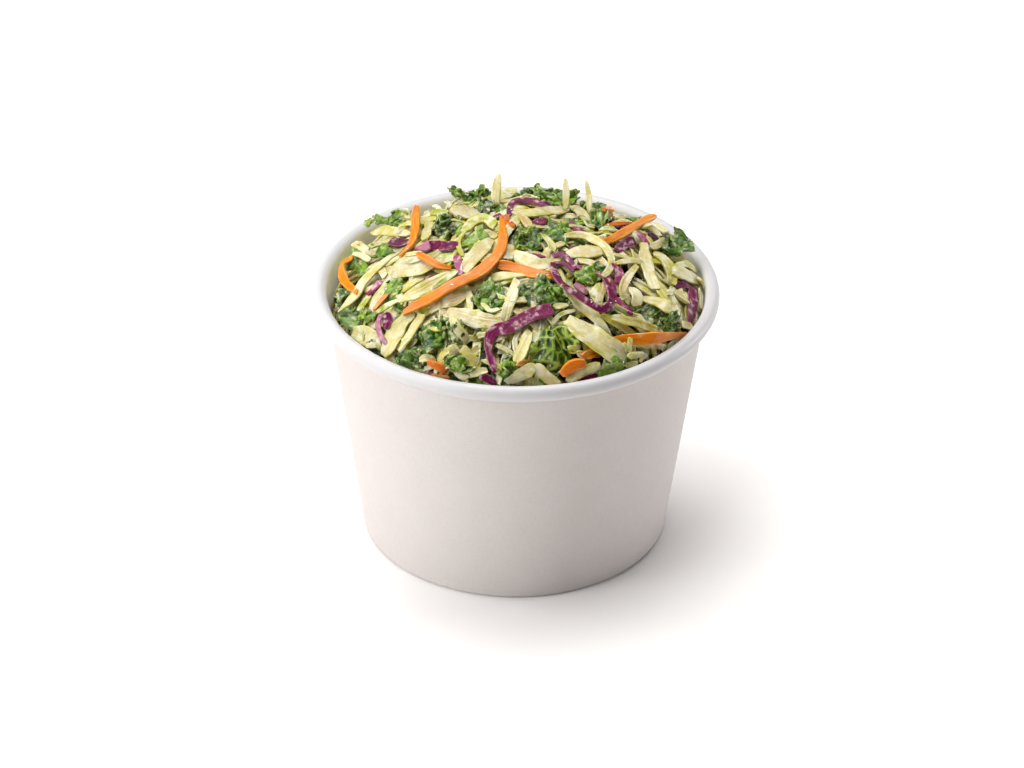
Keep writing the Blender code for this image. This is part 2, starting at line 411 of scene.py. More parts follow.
# ------------------------------------------------------------------ strips
# How each form is cut and lies: its thickness in millimetres and as a share of its width, how boxy
# its section and its ends are, the width left at its ends, the least share of its greatest width,
# the cupping of its section, how many times it relaxes over what carries it, how far it sinks in
# and how uneven its edges are.
FORM_VALUES = ("thick", "share", "square", "ends", "tip", "full", "cup", "limpness", "sink", "uneven")
FORMS = named(FORM_VALUES, {
    "ribbon": (0.36, 0.11, 7.0, 20.0, 0.7, 0.72, 0.14, 12, 0.2, 0.6),
    "sliver": (0.36, 0.11, 6.0, 6.0, 0.25, 0.4, 0.12, 18, 0.2, 0.5),
    "oval": (0.4, 0.08, 6.0, 9.0, 0.6, 0.75, 0.14, 20, 0.2, 0.4),
    "sheet": (0.36, 0.05, 7.0, 12.0, 0.6, 0.8, 0.18, 16, 0.2, 0.8),
    "upright": (0.36, 0.14, 6.0, 8.0, 0.45, 0.5, 0.12, 18, 0.2, 0.3),
    "stick": (0.4, 0.50, 10.0, 24.0, 0.7, 0.5, 0.0, 90, 0.3, 0.35),
    "strip": (0.5, 0.22, 8.0, 16.0, 0.6, 0.55, 0.04, 80, 0.3, 0.35),
    "band": (0.5, 0.11, 9.0, 40.0, 0.9, 0.3, 0.10, 70, 0.3, 0.12),
    "lump": (0.4, 0.22, 7.0, 16.0, 0.7, 0.8, 0.2, 5, 0.5, 1.2),
})
LAY_SPACING = 0.6  # of the stations at which a strip is laid
LEAN = 0.3  # by which the pieces that the photograph shows face the camera more than the heap does
STANDING_AT = (15.0, 20.0)  # how far behind the cup's middle the standing tips begin and end
STANDING_FACES = (-0.3, -1.0, 0.4)
TUCKED_SHARE = 0.6  # of the ends that are pushed in among their neighbours
TUCK_LENGTH = 1.6  # over which such an end comes back up
SLIDE = 4.0  # the most that a strip slides from where its sight lines first meet the heap
SETTLE_ROUNDS = 3
WIDTH_RANGE = (0.5, 1.7)  # of a strip's own width over the width seen
RIM_GAP = 0.8  # of a strip's middle line from the free radius, at the back
TWIST = (0.2, 0.7)  # radians, of the whole strip and from end to end
DRAPE_SECTION = 7  # points across the section that raises the map


def strip_axes(middle, normal):
    """Unit vectors along the path, across it and up from it."""
    ahead = unit(np.gradient(middle, axis=0))
    side = unit(np.cross(ahead, normal))
    return ahead, side, np.cross(side, ahead)


def rest_on(heap, x, y, half_width, half_thick, form):
    """Middle line of a strip that lies on the heap along a path, and the surface's normals there.

    What carries it is the highest of three lines of the map: its middle and near both edges. The
    strip starts there and relaxes: it takes the mean of its neighbours, but never sinks into what
    carries it. A stiff strip relaxes many times, and so bridges the hollows.
    """
    normal = unit(running_mean(heap.normal(x, y), 3))
    start = np.stack([x, y, heap.read(heap.soft, x, y)], -1)
    side = strip_axes(start, normal)[1]
    support = -1e9
    for edge in (-0.75, 0.0, 0.75):
        offset = side * (edge * half_width)[:, None]
        under = heap.read(heap.height, x + offset[:, 0], y + offset[:, 1]) - offset[:, 2]
        support = np.maximum(support, under)
    support = support - form["sink"]
    z = support
    for _ in range(form["limpness"]):
        z = np.maximum(running_mean(z, 2), support)
    z = running_mean(z, 2)
    return np.stack([x, y, z + half_thick], -1), normal


def settle(heap, pixels, half_seen, form):
    """Middle line, normals and half width of a strip that the camera sees along these pixels.

    It starts where the sight lines meet the heap. Draping changes its height, so three times it
    slides along the ground to where the sight lines pass at the new height. Its width is what
    makes it as wide as seen: w |B.q| + t |N.q| is half the seen width, where q is the direction
    across the path in the picture, B and N run across and up from the strip, and t is half its
    thickness. In the end each point moves onto its own sight line at the depth that was found, or
    nearer where that would lie over the rim at the back.
    """
    ahead = sight_lines(pixels)
    half_width = half_seen
    half_thick = (form["thick"] + 2 * form["share"] * half_seen) / 2
    x, y, gap = heap.seen(pixels, half_seen.mean() * 0.5, half_thick.mean() - form["sink"])
    x, y, gap = (running_mean(v, 3) for v in (x, y, gap))
    x_first, y_first = x, y
    for _ in range(SETTLE_ROUNDS):
        middle, normal = rest_on(heap, x, y, half_width, half_thick, form)
        normal = unit(normal - LEAN * view_ahead)
        travel = (middle[:, 2] + gap - view_from[2]) / ahead[:, 2]
        x_seen, y_seen = (view_from[k] + ahead[:, k] * travel for k in range(2))
        x = 0.4 * x + 0.6 * np.clip(x_seen, x_first - SLIDE, x_first + SLIDE)
        y = 0.4 * y + 0.6 * np.clip(y_seen, y_first - SLIDE, y_first + SLIDE)
        x, y = running_mean(x, 1), running_mean(y, 1)
        along, side, up = strip_axes(middle, normal)
        across = unit(np.cross(view_ahead, along))
        side_share = np.maximum(np.abs((side * across).sum(1)), 0.5)
        up_share = np.abs((up * across).sum(1))
        wanted = (half_seen - half_thick * up_share) / side_share
        least, most = (limit * half_seen for limit in WIDTH_RANGE)
        half_width = running_mean(np.clip(wanted, least, most), 3)
    middle, normal = rest_on(heap, x, y, half_width, half_thick, form)
    normal = unit(normal - LEAN * view_ahead)
    middle[:, 2] += gap
    depth = running_mean(running_mean((middle - view_from) @ view_ahead, 3), 2)
    for _ in range(4):
        middle = view_from + ahead * depth[:, None]
        beyond = np.maximum(np.hypot(middle[:, 0], middle[:, 1]) - FREE_RADIUS + RIM_GAP, 0.0)
        depth = depth - 1.2 * beyond * (middle[:, 1] > 0)
    return view_from + ahead * depth[:, None], normal, half_width


def stand(pixels, half_seen):
    """Middle line, normals and half width of a shred that stands on end behind the crown.

    Its points lie where the sight lines pass a level line that moves back as they rise.
    """
    ahead = sight_lines(pixels)
    back = np.linspace(*STANDING_AT, len(pixels))
    middle = view_from + ahead * ((back - view_from[1]) / ahead[:, 1])[:, None]
    return middle, np.tile(STANDING_FACES, (len(middle), 1)), half_seen


def section_carried(middle, normal, half_width, half_thick, twist, sway, skew, shape, across):
    """A strip carried along its middle line, and where each point of its ring lies across it.

    Station by station the section spans B a w + N (h t + cup (a^2 - 1/3) w), where a runs from -1
    to 1 across and back, w and t are half the width and thickness there, and h is a superellipse
    (1 - |a|^square)^(1/2) that keeps half of its height at the edges and is raised by ribs,
    cos(k a). Each edge sways on its own, which widens or narrows its side, and skew slides the
    section's two edges apart along the path, so that the ends are cut at a slant. B and N are
    turned about the path by twist.
    """
    cup, square, ribs = shape
    a = np.linspace(-1, 1, across)
    a = np.sign(a) * (1 - (1 - np.abs(a)) ** 1.9)
    h = 0.5 + (0.5 + ribs * np.cos(5.0 * a + 40 * ribs)) * np.sqrt(1 - np.abs(a) ** square)
    a = np.concatenate([a, a[::-1]])
    h = np.concatenate([h, -h[::-1]])
    ahead, side, up = strip_axes(middle, normal)
    c, s = np.cos(twist)[:, None], np.sin(twist)[:, None]
    side, up = side * c + up * s, up * c - side * s
    side = side + ahead * skew[:, None]
    w, t = half_width[:, None, None], half_thick[:, None, None]
    reach = a[None] * (1 + np.where(a[None] > 0, sway[:, :1], sway[:, 1:]))
    rise = h[None, :, None] * t + (cup * (a**2 - 1 / 3))[None, :, None] * w
    return middle[:, None] + side[:, None] * reach[..., None] * w + up[:, None] * rise, a


def waver(rng, s, waves, height):
    """Two sines of different waves along a path, one column for each edge."""
    columns = []
    for _ in range(2):
        fast = np.sin(TURN * (s * rng.uniform(1.6, 2.4) * waves + rng.uniform()))
        slow = np.sin(TURN * (s * rng.uniform(0.6, 1.1) * waves + rng.uniform()))
        columns.append(height * (0.45 * fast + 0.55 * slow))
    return np.stack(columns, -1)


def add_strip(heap, pieces, rng, middle, normal, half_width, form, tone, spacing, across, shown):
    """Shape one strip about its middle line, raise the map with it and gather it with its kind."""
    steps = len(middle)
    s = np.linspace(0, 1, steps)
    length = length_along(middle)
    half_width = np.maximum(half_width, form["full"] * half_width.max())
    blunt = np.maximum((1 - np.abs(2 * s - 1) ** form["ends"]) ** 0.5, form["tip"])
    half_thick = (form["thick"] + 2 * form["share"] * half_width) / 2
    half_thick = half_thick * (0.5 + 0.5 * blunt)
    half_width = half_width * blunt
    loose = 0.5 if shown else 1.0
    twist = loose * (rng.normal() * TWIST[0] + rng.normal() * TWIST[1] * (s - 0.5))
    sway = waver(rng, s, length[-1] / 9, 0.3 * form["uneven"])
    skew = form["uneven"] * (rng.normal() * (1 - s) ** 2 + rng.normal() * s**2) * 0.7
    shape = (form["cup"] + rng.normal() * 0.05, form["square"], rng.uniform(0, 0.25) * form["uneven"])
    tuck = rng.uniform(0, 0.4 if shown else 1.0, 2) * (rng.uniform(size=2) < TUCKED_SHARE)
    tuck = tuck[0] * np.exp(-length / TUCK_LENGTH) + tuck[1] * np.exp((length - length[-1]) / TUCK_LENGTH)
    middle = middle - normal * tuck[:, None]
    lines = (middle, normal, half_width, half_thick, twist, sway, skew)
    heap.cover(section_carried(*lines, shape, DRAPE_SECTION)[0], shown)
    t = np.linspace(0, 1, max(9, int(length[-1] / spacing)))
    stations = (steps - 1) * (0.5 * t + 0.5 * (0.5 - 0.5 * np.cos(math.pi * t)))
    lines = [rows_at(v, stations) for v in lines]
    grid, a = section_carried(*lines, shape, across)
    fibre = np.zeros(grid.shape)
    fibre[..., 0] = rows_at(length, stations)[:, None]
    fibre[..., 1] = a[None, :] * lines[2][:, None]
    fibre[..., 2] = rng.uniform(0, 500)
    pieces.add(into_cup(grid), fibre=fibre, edge=np.abs(a)[None, :], tone=tone)


# ------------------------------------------------------------------ kale
# How each kind of kale is curled: the height of its ruffled margin, the wave of that ruffle along
# the leaf, how far the whole is crumpled, how strongly it folds about its rib, the size of the
# cells between its veins, and how far they puff up, or below nought sink in like bowls.
CURLS = named(("ruffle", "wave", "crumple", "fold", "cell", "puff"), {
    "curly": (0.7, 4.2, 0.7, 0.2, 2.0, 0.8),
    "netted": (0.6, 4.5, 0.8, 0.2, 2.3, -0.8),
    "leafy": (0.6, 6.0, 1.0, 0.25, 2.5, 0.5),
})
NOTCH = 0.18  # by which the outline draws in where a crease meets it
WAVES = 4  # that crumple a leaf
LEAF_HALF_THICK = 0.2
KALE_LIES = {"thick": 0.6, "share": 0.0, "limpness": 30, "sink": 0.1}
FOLDED_VEIN = 0.16  # by which veins show less on leaves that aren't netted, as they lie in the folds
RESTS_ON = 85  # percentile of how deep a leaf's points would lie
REST_SINK = 0.5  # how deep they lie at that percentile once the leaf has come to rest
REST_SHIFT = (-1.5, 2.5)  # the most that it moves down and up for that
YIELD = 1.5  # its points that would still lie deeper bend up by half of this at most


def leaf_cells(rng, x, y, cell):
    """How far points of a leaf lie from its veins, from 0 to about 1, and how strong their cell is.

    The cells are those of a jittered grid of seeds, and the distance is that to the second nearest
    seed less that to the nearest, over the cell's size.
    """
    reach_x, reach_y = np.abs(x).max() + cell, np.abs(y).max() + cell
    sx, sy = np.meshgrid(np.arange(-reach_x, reach_x, cell), np.arange(-reach_y, reach_y, cell))
    sx, sy = (v.ravel() + rng.uniform(-0.38, 0.38, v.size) * cell for v in (sx, sy))
    distance = np.hypot(x[..., None] - sx, y[..., None] - sy)
    near = np.partition(distance, 1, axis=-1)
    strength = rng.uniform(0.4, 1.3, sx.size)[distance.argmin(-1)]
    return (near[..., 1] - near[..., 0]) / cell, strength


def kale_leaf(rng, length, width, grid, ruffle, wave, crumple, fold, cell, puff):
    """A torn bit of kale, flat in x and y with its rib along x, and what its finish reads.

    The outline is an oval with lobes, drawn in where a crease meets it. Between its veins the
    surface rises or sinks by puff times a dome over each cell, a sine of the distance from them.
    Towards the margin it gains a ruffle, margin^1.5 times the sine of a phase that runs along the
    leaf; the outline swells with the cosine, and a sine of twice the phase leans the ruffle over
    into loops. It folds about the rib, bends along it, and a few slow waves crumple it all.
    """
    u = np.linspace(-1, 1, grid[0])[:, None]
    v = np.linspace(-1, 1, grid[1])[None, :]
    lobes = 1 + 0.16 * np.sin(TURN * (u * rng.uniform(0.8, 1.6) + rng.uniform()) + 2 * np.sign(v))
    half = 0.5 * width * np.sqrt(np.maximum(1 - np.abs(u) ** 4, 0.12)) * lobes
    x = 0.5 * length * u * (1 - 0.15 * v**2) + 0 * v
    y = half * v
    crease, strength = leaf_cells(rng, x, y, cell)
    leaf = np.stack([x, y, 0 * x + rng.uniform(0, 300)], -1)
    margin = np.maximum(np.abs(v), np.abs(u) ** 4) ** 1.5 + 0 * x
    phase = x * TURN / (wave * rng.uniform(0.85, 1.15)) + rng.uniform(0, TURN) + 1.7 * np.sign(v)
    phase = phase + 0.8 * np.sin(x * TURN / rng.uniform(5, 8) + rng.uniform(0, TURN))
    dome = np.sin(math.pi / 2 * np.minimum(1.2 * crease, 1.0)) ** 0.8
    z = ruffle * margin * np.sin(phase) + puff * strength * dome
    drawn = 1 - NOTCH * margin * np.clip(1 - 1.6 * crease, 0, 1) ** 1.5
    y = y * drawn * (1 + 0.10 * margin * np.cos(phase))
    x = x * drawn - 0.06 * wave * margin * np.sin(2 * phase) * (1 - u**2)
    z = z + fold * np.abs(y) * rng.choice([1.0, 1.0, -1.0])
    z = z - rng.uniform(-0.04, 0.08) * x**2
    surface = np.stack([x, y, z], -1)
    for _ in range(WAVES):
        ripple = rng.normal(size=3)
        ripple *= TURN / rng.uniform(5.0, 10.0) / np.linalg.norm(ripple)
        push = rng.normal(size=3) * crumple * 0.36
        surface = surface + np.sin(surface @ ripple + rng.uniform(0, TURN))[..., None] * push
    return surface - surface.mean((0, 1)), leaf, margin, crease


def add_kale(heap, pieces, rng, centre, ahead, up, length, width, curl, tone, grid, shown):
    """Set one bit of kale down at a place, with its rib ahead, and gather it with the rest."""
    surface, leaf, margin, crease = kale_leaf(rng, length, width, grid, **CURLS[curl])
    net = float(curl == "netted")
    crease = crease + FOLDED_VEIN * (1 - net)
    side = unit(np.cross(up, ahead))
    ahead = np.cross(side, up)
    placed = centre + surface @ np.stack([ahead, side, up])
    low = heap.read(heap.height, placed[..., 0], placed[..., 1]) - placed[..., 2]
    rests = np.percentile(low, RESTS_ON)
    placed[..., 2] += np.clip(rests - REST_SINK, *REST_SHIFT)
    placed[..., 2] += 0.5 * np.clip(low - rests, 0, YIELD)
    normal = unit(np.cross(np.gradient(placed, axis=0), np.gradient(placed, axis=1)))
    skin = normal * LEAF_HALF_THICK
    both = np.concatenate([placed + skin, (placed - skin)[:, ::-1]], 1)
    heap.cover(placed, shown)
    mean = sum(np.roll(placed, k, axis) for k in (-2, 2) for axis in (0, 1)) / 4
    hollow = np.einsum("ijk,ijk->ij", mean - placed, normal)

    def around(value, sign=1):
        return np.concatenate([value, sign * value[:, ::-1]], 1)

    pieces.add(into_cup(both), leaf=around(leaf), margin=around(margin), crease=around(crease),
               hollow=around(hollow, -1), tone=tone, net=net)


# ------------------------------------------------------------------ what the photograph shows
# Each row is one piece: its kind, its form, its tone from 0 to 1, and its middle line as knots of
# x,y,width in pixels of the 1024 by 768 frame. They are listed from the bottom up. Cabbage runs
# from beige (0) over cream (0.3) and yellow (0.6) to lime (1), red cabbage from lilac to deep
# purple, carrot from pale to reddish, and kale from dressed and greyish to yellow green.
LEFT_SIDE = {
    "dressed leaf at the wall": "kale curly 0.1 333,306,20 358,305,24",
    "dark leaf under it": "kale leafy 0.4 342,322,16 366,322,20",
    "leaf within the crescent": "kale leafy 0.6 357,257,22 359,283,20",
    "ragged end": "cabbage lump 0.2 352,245,8 362,252,11 370,259,8",
    "ragged end below": "cabbage ribbon 0.25 351,256,5 360,258,7 368,263,7",
    "leaf by the rim": "kale curly 0.5 372,228,8 403,226,9",
    "yellow end of that leaf": "kale leafy 0.95 363,217,9 372,219,9",
    "pointed shred": "cabbage sliver 0.45 368,235,5 380,233,9 395,234,10 409,235,8",
    "shred below it": "cabbage ribbon 0.4 368,249,7 380,245,8 396,240,6",
    "leaf behind the long shred": "kale leafy 0.5 370,255,14 393,257,14",
    "purple chunk": "red_cabbage oval 0.9 387,243,8 397,245,12 407,243,10",
    "cream lump": "cabbage sheet 0.25 390,273,10 406,271,19 420,267,19 434,265,10",
    "cream lump below": "cabbage oval 0.3 392,262,6 410,262,9 424,258,5",
    "thin shred along the lump": "cabbage ribbon 0.5 384,268,5 400,258,6 417,254,6",
    "long shred": "cabbage sliver 0.4 337,315,5 352,300,10 365,281,10 380,266,8 395,255,8 403,249,5",
    "lime edge of the long shred": "cabbage ribbon 0.95 357,313,5 363,305,7 369,297,5",
    "lilac shred": "red_cabbage ribbon 0.35 379,283,6 373,291,7 366,297,4",
    "bright leaf": "kale leafy 0.7 380,290,22 402,289,20",
    "pale strip in front": "cabbage ribbon 0.35 384,285,5 378,297,10 370,312,8",
    "dressed carrot": "carrot ribbon 0.15 386,296,4 379,304,6 373,312,4",
    "dark bit": "kale leafy 0.4 393,303,10 403,313,10",
    "lime shred": "cabbage ribbon 0.9 374,315,4 386,308,7 397,302,5",
    "curl under the lime shred": "kale curly 0.8 356,322,9 369,316,9",
    "green disc": "kale leafy 0.7 364,320,8 374,320,8",
    "crescent carrot": "carrot ribbon 0.3 350,260,5 341,266,8 340,276,9 346,287,9 356,295,6",
}
LEFT_TOP = {
    "cream at the wall": "cabbage ribbon 0.3 403,210,5 405,220,6",
    "cream by the carrot": "cabbage sheet 0.3 424,213,6 426,226,10 423,241,9",
    "cream tips": "cabbage lump 0.35 432,207,6 438,212,6",
    "cream tips beyond": "cabbage lump 0.35 443,202,6 448,208,6",
    "lime strip": "cabbage ribbon 0.95 429,214,6 437,213,7 445,213,5",
    "small leaf at the top": "kale curly 0.6 449,197,8 462,197,8",
    "big leaf at the top": "kale curly 0.45 464,198,11 486,198,11",
    "dressed leaf": "kale curly 0.15 432,226,22 456,222,30",
    "cream chunk": "cabbage oval 0.25 450,215,12 463,213,16 477,211,9",
    "dark leaf": "kale leafy 0.2 470,210,11 491,208,12",
    "beige bit": "cabbage oval 0.15 482,230,7 494,238,8",
    "purple bit": "red_cabbage lump 0.6 490,217,7 500,216,7",
    "lime sliver": "cabbage sliver 0.75 470,207,4 484,202,8 498,197,11 513,188,8",
    "lime arch": "cabbage ribbon 0.8 463,232,8 470,223,12 481,219,12 493,226,6",
    "bright leaf": "kale leafy 0.8 462,240,18 484,241,18",
    "edge of the bright leaf": "cabbage ribbon 0.55 463,232,4 456,243,6 460,257,5",
    "cream oval": "cabbage oval 0.28 462,273,6 470,260,15 480,249,17 489,240,8",
    "purple strip": "red_cabbage ribbon 0.7 426,246,9 435,247,11 447,247,10 456,245,7",
    "lilac end of the strip": "red_cabbage lump 0.1 415,249,9 428,247,12",
    "lime patch": "cabbage sheet 0.9 432,265,8 443,260,13 453,257,10",
    "lilac bend": "red_cabbage ribbon 0.2 453,256,6 457,265,9 459,276,6",
    "upright carrot": "carrot strip 0.25 414,208,8 413,220,10 413,233,10 410,245,9 405,252,9 398,258,6",
    "short carrot": "carrot stick 0.5 415,255,7 428,262,10 438,267,9 449,269,5",
    "magenta dot": "red_cabbage lump 0.7 424,279,5 432,279,5",
    "small leaf": "kale curly 0.2 415,285,6 424,285,7",
}
MIDDLE_TOP = {
    "leaf on the crest": "kale curly 0.45 519,191,13 538,191,13",
    "leaf beside it": "kale curly 0.35 535,194,12 549,194,12",
    "broad leaf on the crest": "kale curly 0.6 543,197,14 571,194,16",
    "red arch": "red_cabbage ribbon 0.7 507,216,6 507,207,7 513,201,7 526,201,8 538,204,6 547,207,4",
    "cream band": "cabbage ribbon 0.35 511,211,9 525,213,11 545,211,11 564,208,9",
    "dark leaf": "kale curly 0.3 512,239,22 538,238,24",
    "lime curl": "kale curly 0.9 519,233,6 530,230,7",
    "lime curl below": "kale curly 0.95 513,248,5 525,247,6",
    "leaf on the right": "kale curly 0.5 545,236,22 565,226,24",
    "pink strip": "cabbage ribbon 0.1 518,214,8 524,222,10 529,230,6",
    "brown red bit": "red_cabbage oval 0.5 531,220,7 543,222,7",
    "sloping shred": "cabbage ribbon 0.5 539,233,6 547,241,8 553,250,6",
    "brown bit": "red_cabbage ribbon 0.55 526,253,5 541,257,5",
    "cream stub": "cabbage oval 0.25 508,245,8 508,259,9",
    "thin carrot": "carrot ribbon 0.5 495,265,6 515,268,8 535,274,11 555,276,7",
    "cream crescent": "cabbage oval 0.3 512,252,9 521,259,15 536,264,15 549,262,10 556,257,5",
    "pointed shred": "cabbage sliver 0.3 488,278,9 505,276,10 525,275,4",
    "shred below it": "cabbage ribbon 0.4 516,280,10 511,294,11 503,321,9",
}
RIGHT_SIDE = {
    "leaf behind": "kale curly 0.3 579,208,12 603,206,13",
    "dark leaf below it": "kale curly 0.45 588,221,16 606,221,16",
    "square carrot": "carrot stick 0.7 601,208,8 609,208,8",
    "leaf at the wall": "kale leafy 0.55 619,213,9 639,218,9",
    "pale shred": "cabbage oval 0.3 570,205,8 580,214,12 587,226,8",
    "green bit": "kale leafy 0.75 574,219,9 585,222,9",
    "pellet": "cabbage lump 0.3 586,225,6 592,225,6",
    "brown strip": "red_cabbage ribbon 0.6 568,221,6 575,229,6 585,232,4",
    "red thread": "carrot ribbon 0.9 604,224,4 618,222,5 631,221,3",
    "lime lumps": "cabbage lump 0.85 599,229,8 613,228,8",
    "yellow bit": "cabbage oval 0.5 645,223,7 652,228,10 658,232,6",
    "purple dot": "red_cabbage oval 0.9 647,233,6 655,235,7",
    "cream by the wall": "cabbage oval 0.2 638,226,7 652,222,9 664,230,7",
    "pink bit": "cabbage oval 0.1 649,246,8 664,238,10",
    "purple triangle": "red_cabbage oval 0.85 614,250,3 623,243,10 632,239,13",
    "cream bit": "cabbage ribbon 0.4 631,229,7 637,240,8",
    "lilac bit": "red_cabbage ribbon 0.3 634,231,6 641,236,7 646,245,6",
    "carrot at the wall": "carrot strip 0.3 600,242,8 618,233,10 634,223,10 652,213,8",
    "inner shred": "cabbage oval 0.3 565,254,11 583,251,15 600,250,11",
    "dark leaf in the loop": "kale leafy 0.25 592,261,11 604,270,12",
    "loop": "cabbage ribbon 0.42 561,235,6 578,234,8 592,238,9 603,246,9 609,257,8 608,268,8 601,275,6",
    "thin strip": "cabbage ribbon 0.4 612,253,4 625,256,5 641,262,5",
    "thin strip below": "cabbage ribbon 0.45 614,262,5 628,259,7 641,260,7",
    "dressed red bits": "red_cabbage lump 0.4 614,263,7 619,272,10 616,281,8",
    "beige bend": "cabbage ribbon 0.2 635,264,5 625,277,8 621,290,9 628,301,9",
    "leaf by the wall": "kale leafy 0.4 662,248,19 686,252,20",
    "peach bit": "cabbage lump 0.05 660,277,6 669,281,7",
    "long pale shred": "cabbage ribbon 0.33 642,241,7 643,255,12 647,271,13 654,287,11",
    "yellow shred": "cabbage ribbon 0.55 652,251,8 661,256,12 669,268,12 671,281,8",
    "lime end": "cabbage ribbon 0.75 670,267,6 684,261,8 695,269,6",
    "shred to the wall": "cabbage ribbon 0.35 671,268,9 686,273,12 703,282,12",
    "dark bits": "red_cabbage lump 0.8 673,282,6 684,283,7 689,290,6",
    "beige at the wall": "cabbage ribbon 0.1 699,288,7 700,306,6",
    "striped purple": "red_cabbage sheet 0.55 691,284,8 691,301,12 688,320,8",
    "lime behind the knob": "cabbage ribbon 0.95 671,284,6 670,294,8 675,303,6",
    "white knob": "cabbage lump 0.3 674,289,10 684,295,13",
    "dressed leaf below": "kale curly 0.15 645,312,20 680,322,22",
    "dressed curl": "kale curly 0.3 657,325,14 676,324,14",
    "broad shred": "cabbage ribbon 0.3 641,296,8 658,301,15 679,310,10",
    "brown purple": "red_cabbage ribbon 0.6 615,296,6 622,305,8 632,310,9",
    "cream knob": "cabbage oval 0.35 630,286,8 636,294,13 636,304,12",
    "bit at the rim": "cabbage ribbon 0.2 680,321,8 693,325,10",
}
MIDDLE = {
    "dressed leaf": "kale curly 0.2 521,292,22 548,291,26",
    "dark side of that leaf": "kale curly 0.35 545,297,22 566,300,18",
    "pale blob": "cabbage lump 0.45 553,307,6 566,303,6",
    "inner lilac": "red_cabbage ribbon 0.1 573,283,7 585,291,7",
    "inner lime": "cabbage sliver 0.8 589,296,6 594,289,10 599,281,5",
    "slanting shred": "cabbage ribbon 0.42 559,284,6 575,299,11 590,312,12 605,325,6",
    "purple arcs": "red_cabbage ribbon 0.6 549,256,6 558,253,7 567,259,7 574,268,5",
    "purple arcs below": "red_cabbage ribbon 0.7 552,262,5 563,263,5 572,271,4",
    "netted leaf": "kale netted 0.65 553,330,30 548,374,38",
    "netted leaf beside it": "kale netted 0.8 561,326,18 570,348,18",
    "lime rim": "cabbage ribbon 0.8 551,324,4 559,314,5 574,309,4",
    "dressed bit": "cabbage oval 0.2 595,319,10 603,329,13 609,336,8",
    "green shred": "cabbage ribbon 0.6 600,313,6 615,321,9 634,333,6",
    "green shred beside it": "cabbage ribbon 0.5 611,316,7 636,321,10 662,331,6",
    "beige under the carrot": "cabbage ribbon 0.1 638,343,6 667,345,6",
    "carrot on the right": "carrot strip 0.55 611,338,5 631,337,11 656,336,12 686,332,6",
    "yellow knob": "cabbage lump 0.6 568,348,9 579,347,8",
    "beige knob": "cabbage lump 0.1 578,354,9 591,353,8",
    "dressed orange": "carrot lump 0.3 584,356,8 598,350,10",
    "big oval": "cabbage oval 0.25 566,319,14 583,332,22 604,344,24 624,358,20",
    "yellow green curl": "kale curly 0.95 601,365,16 622,366,16",
    "star": "cabbage ribbon 0.7 630,336,3 628,350,7",
    "star beside it": "cabbage ribbon 0.7 623,341,4 628,351,6",
    "small green sliver": "cabbage sliver 0.6 627,354,7 646,353,8",
    "small green sliver below": "cabbage sliver 0.5 639,359,6 652,355,6",
    "rim sliver": "cabbage sliver 0.6 625,364,5 638,361,6",
    "cream at the rim": "cabbage oval 0.35 668,345,5 683,339,7",
}
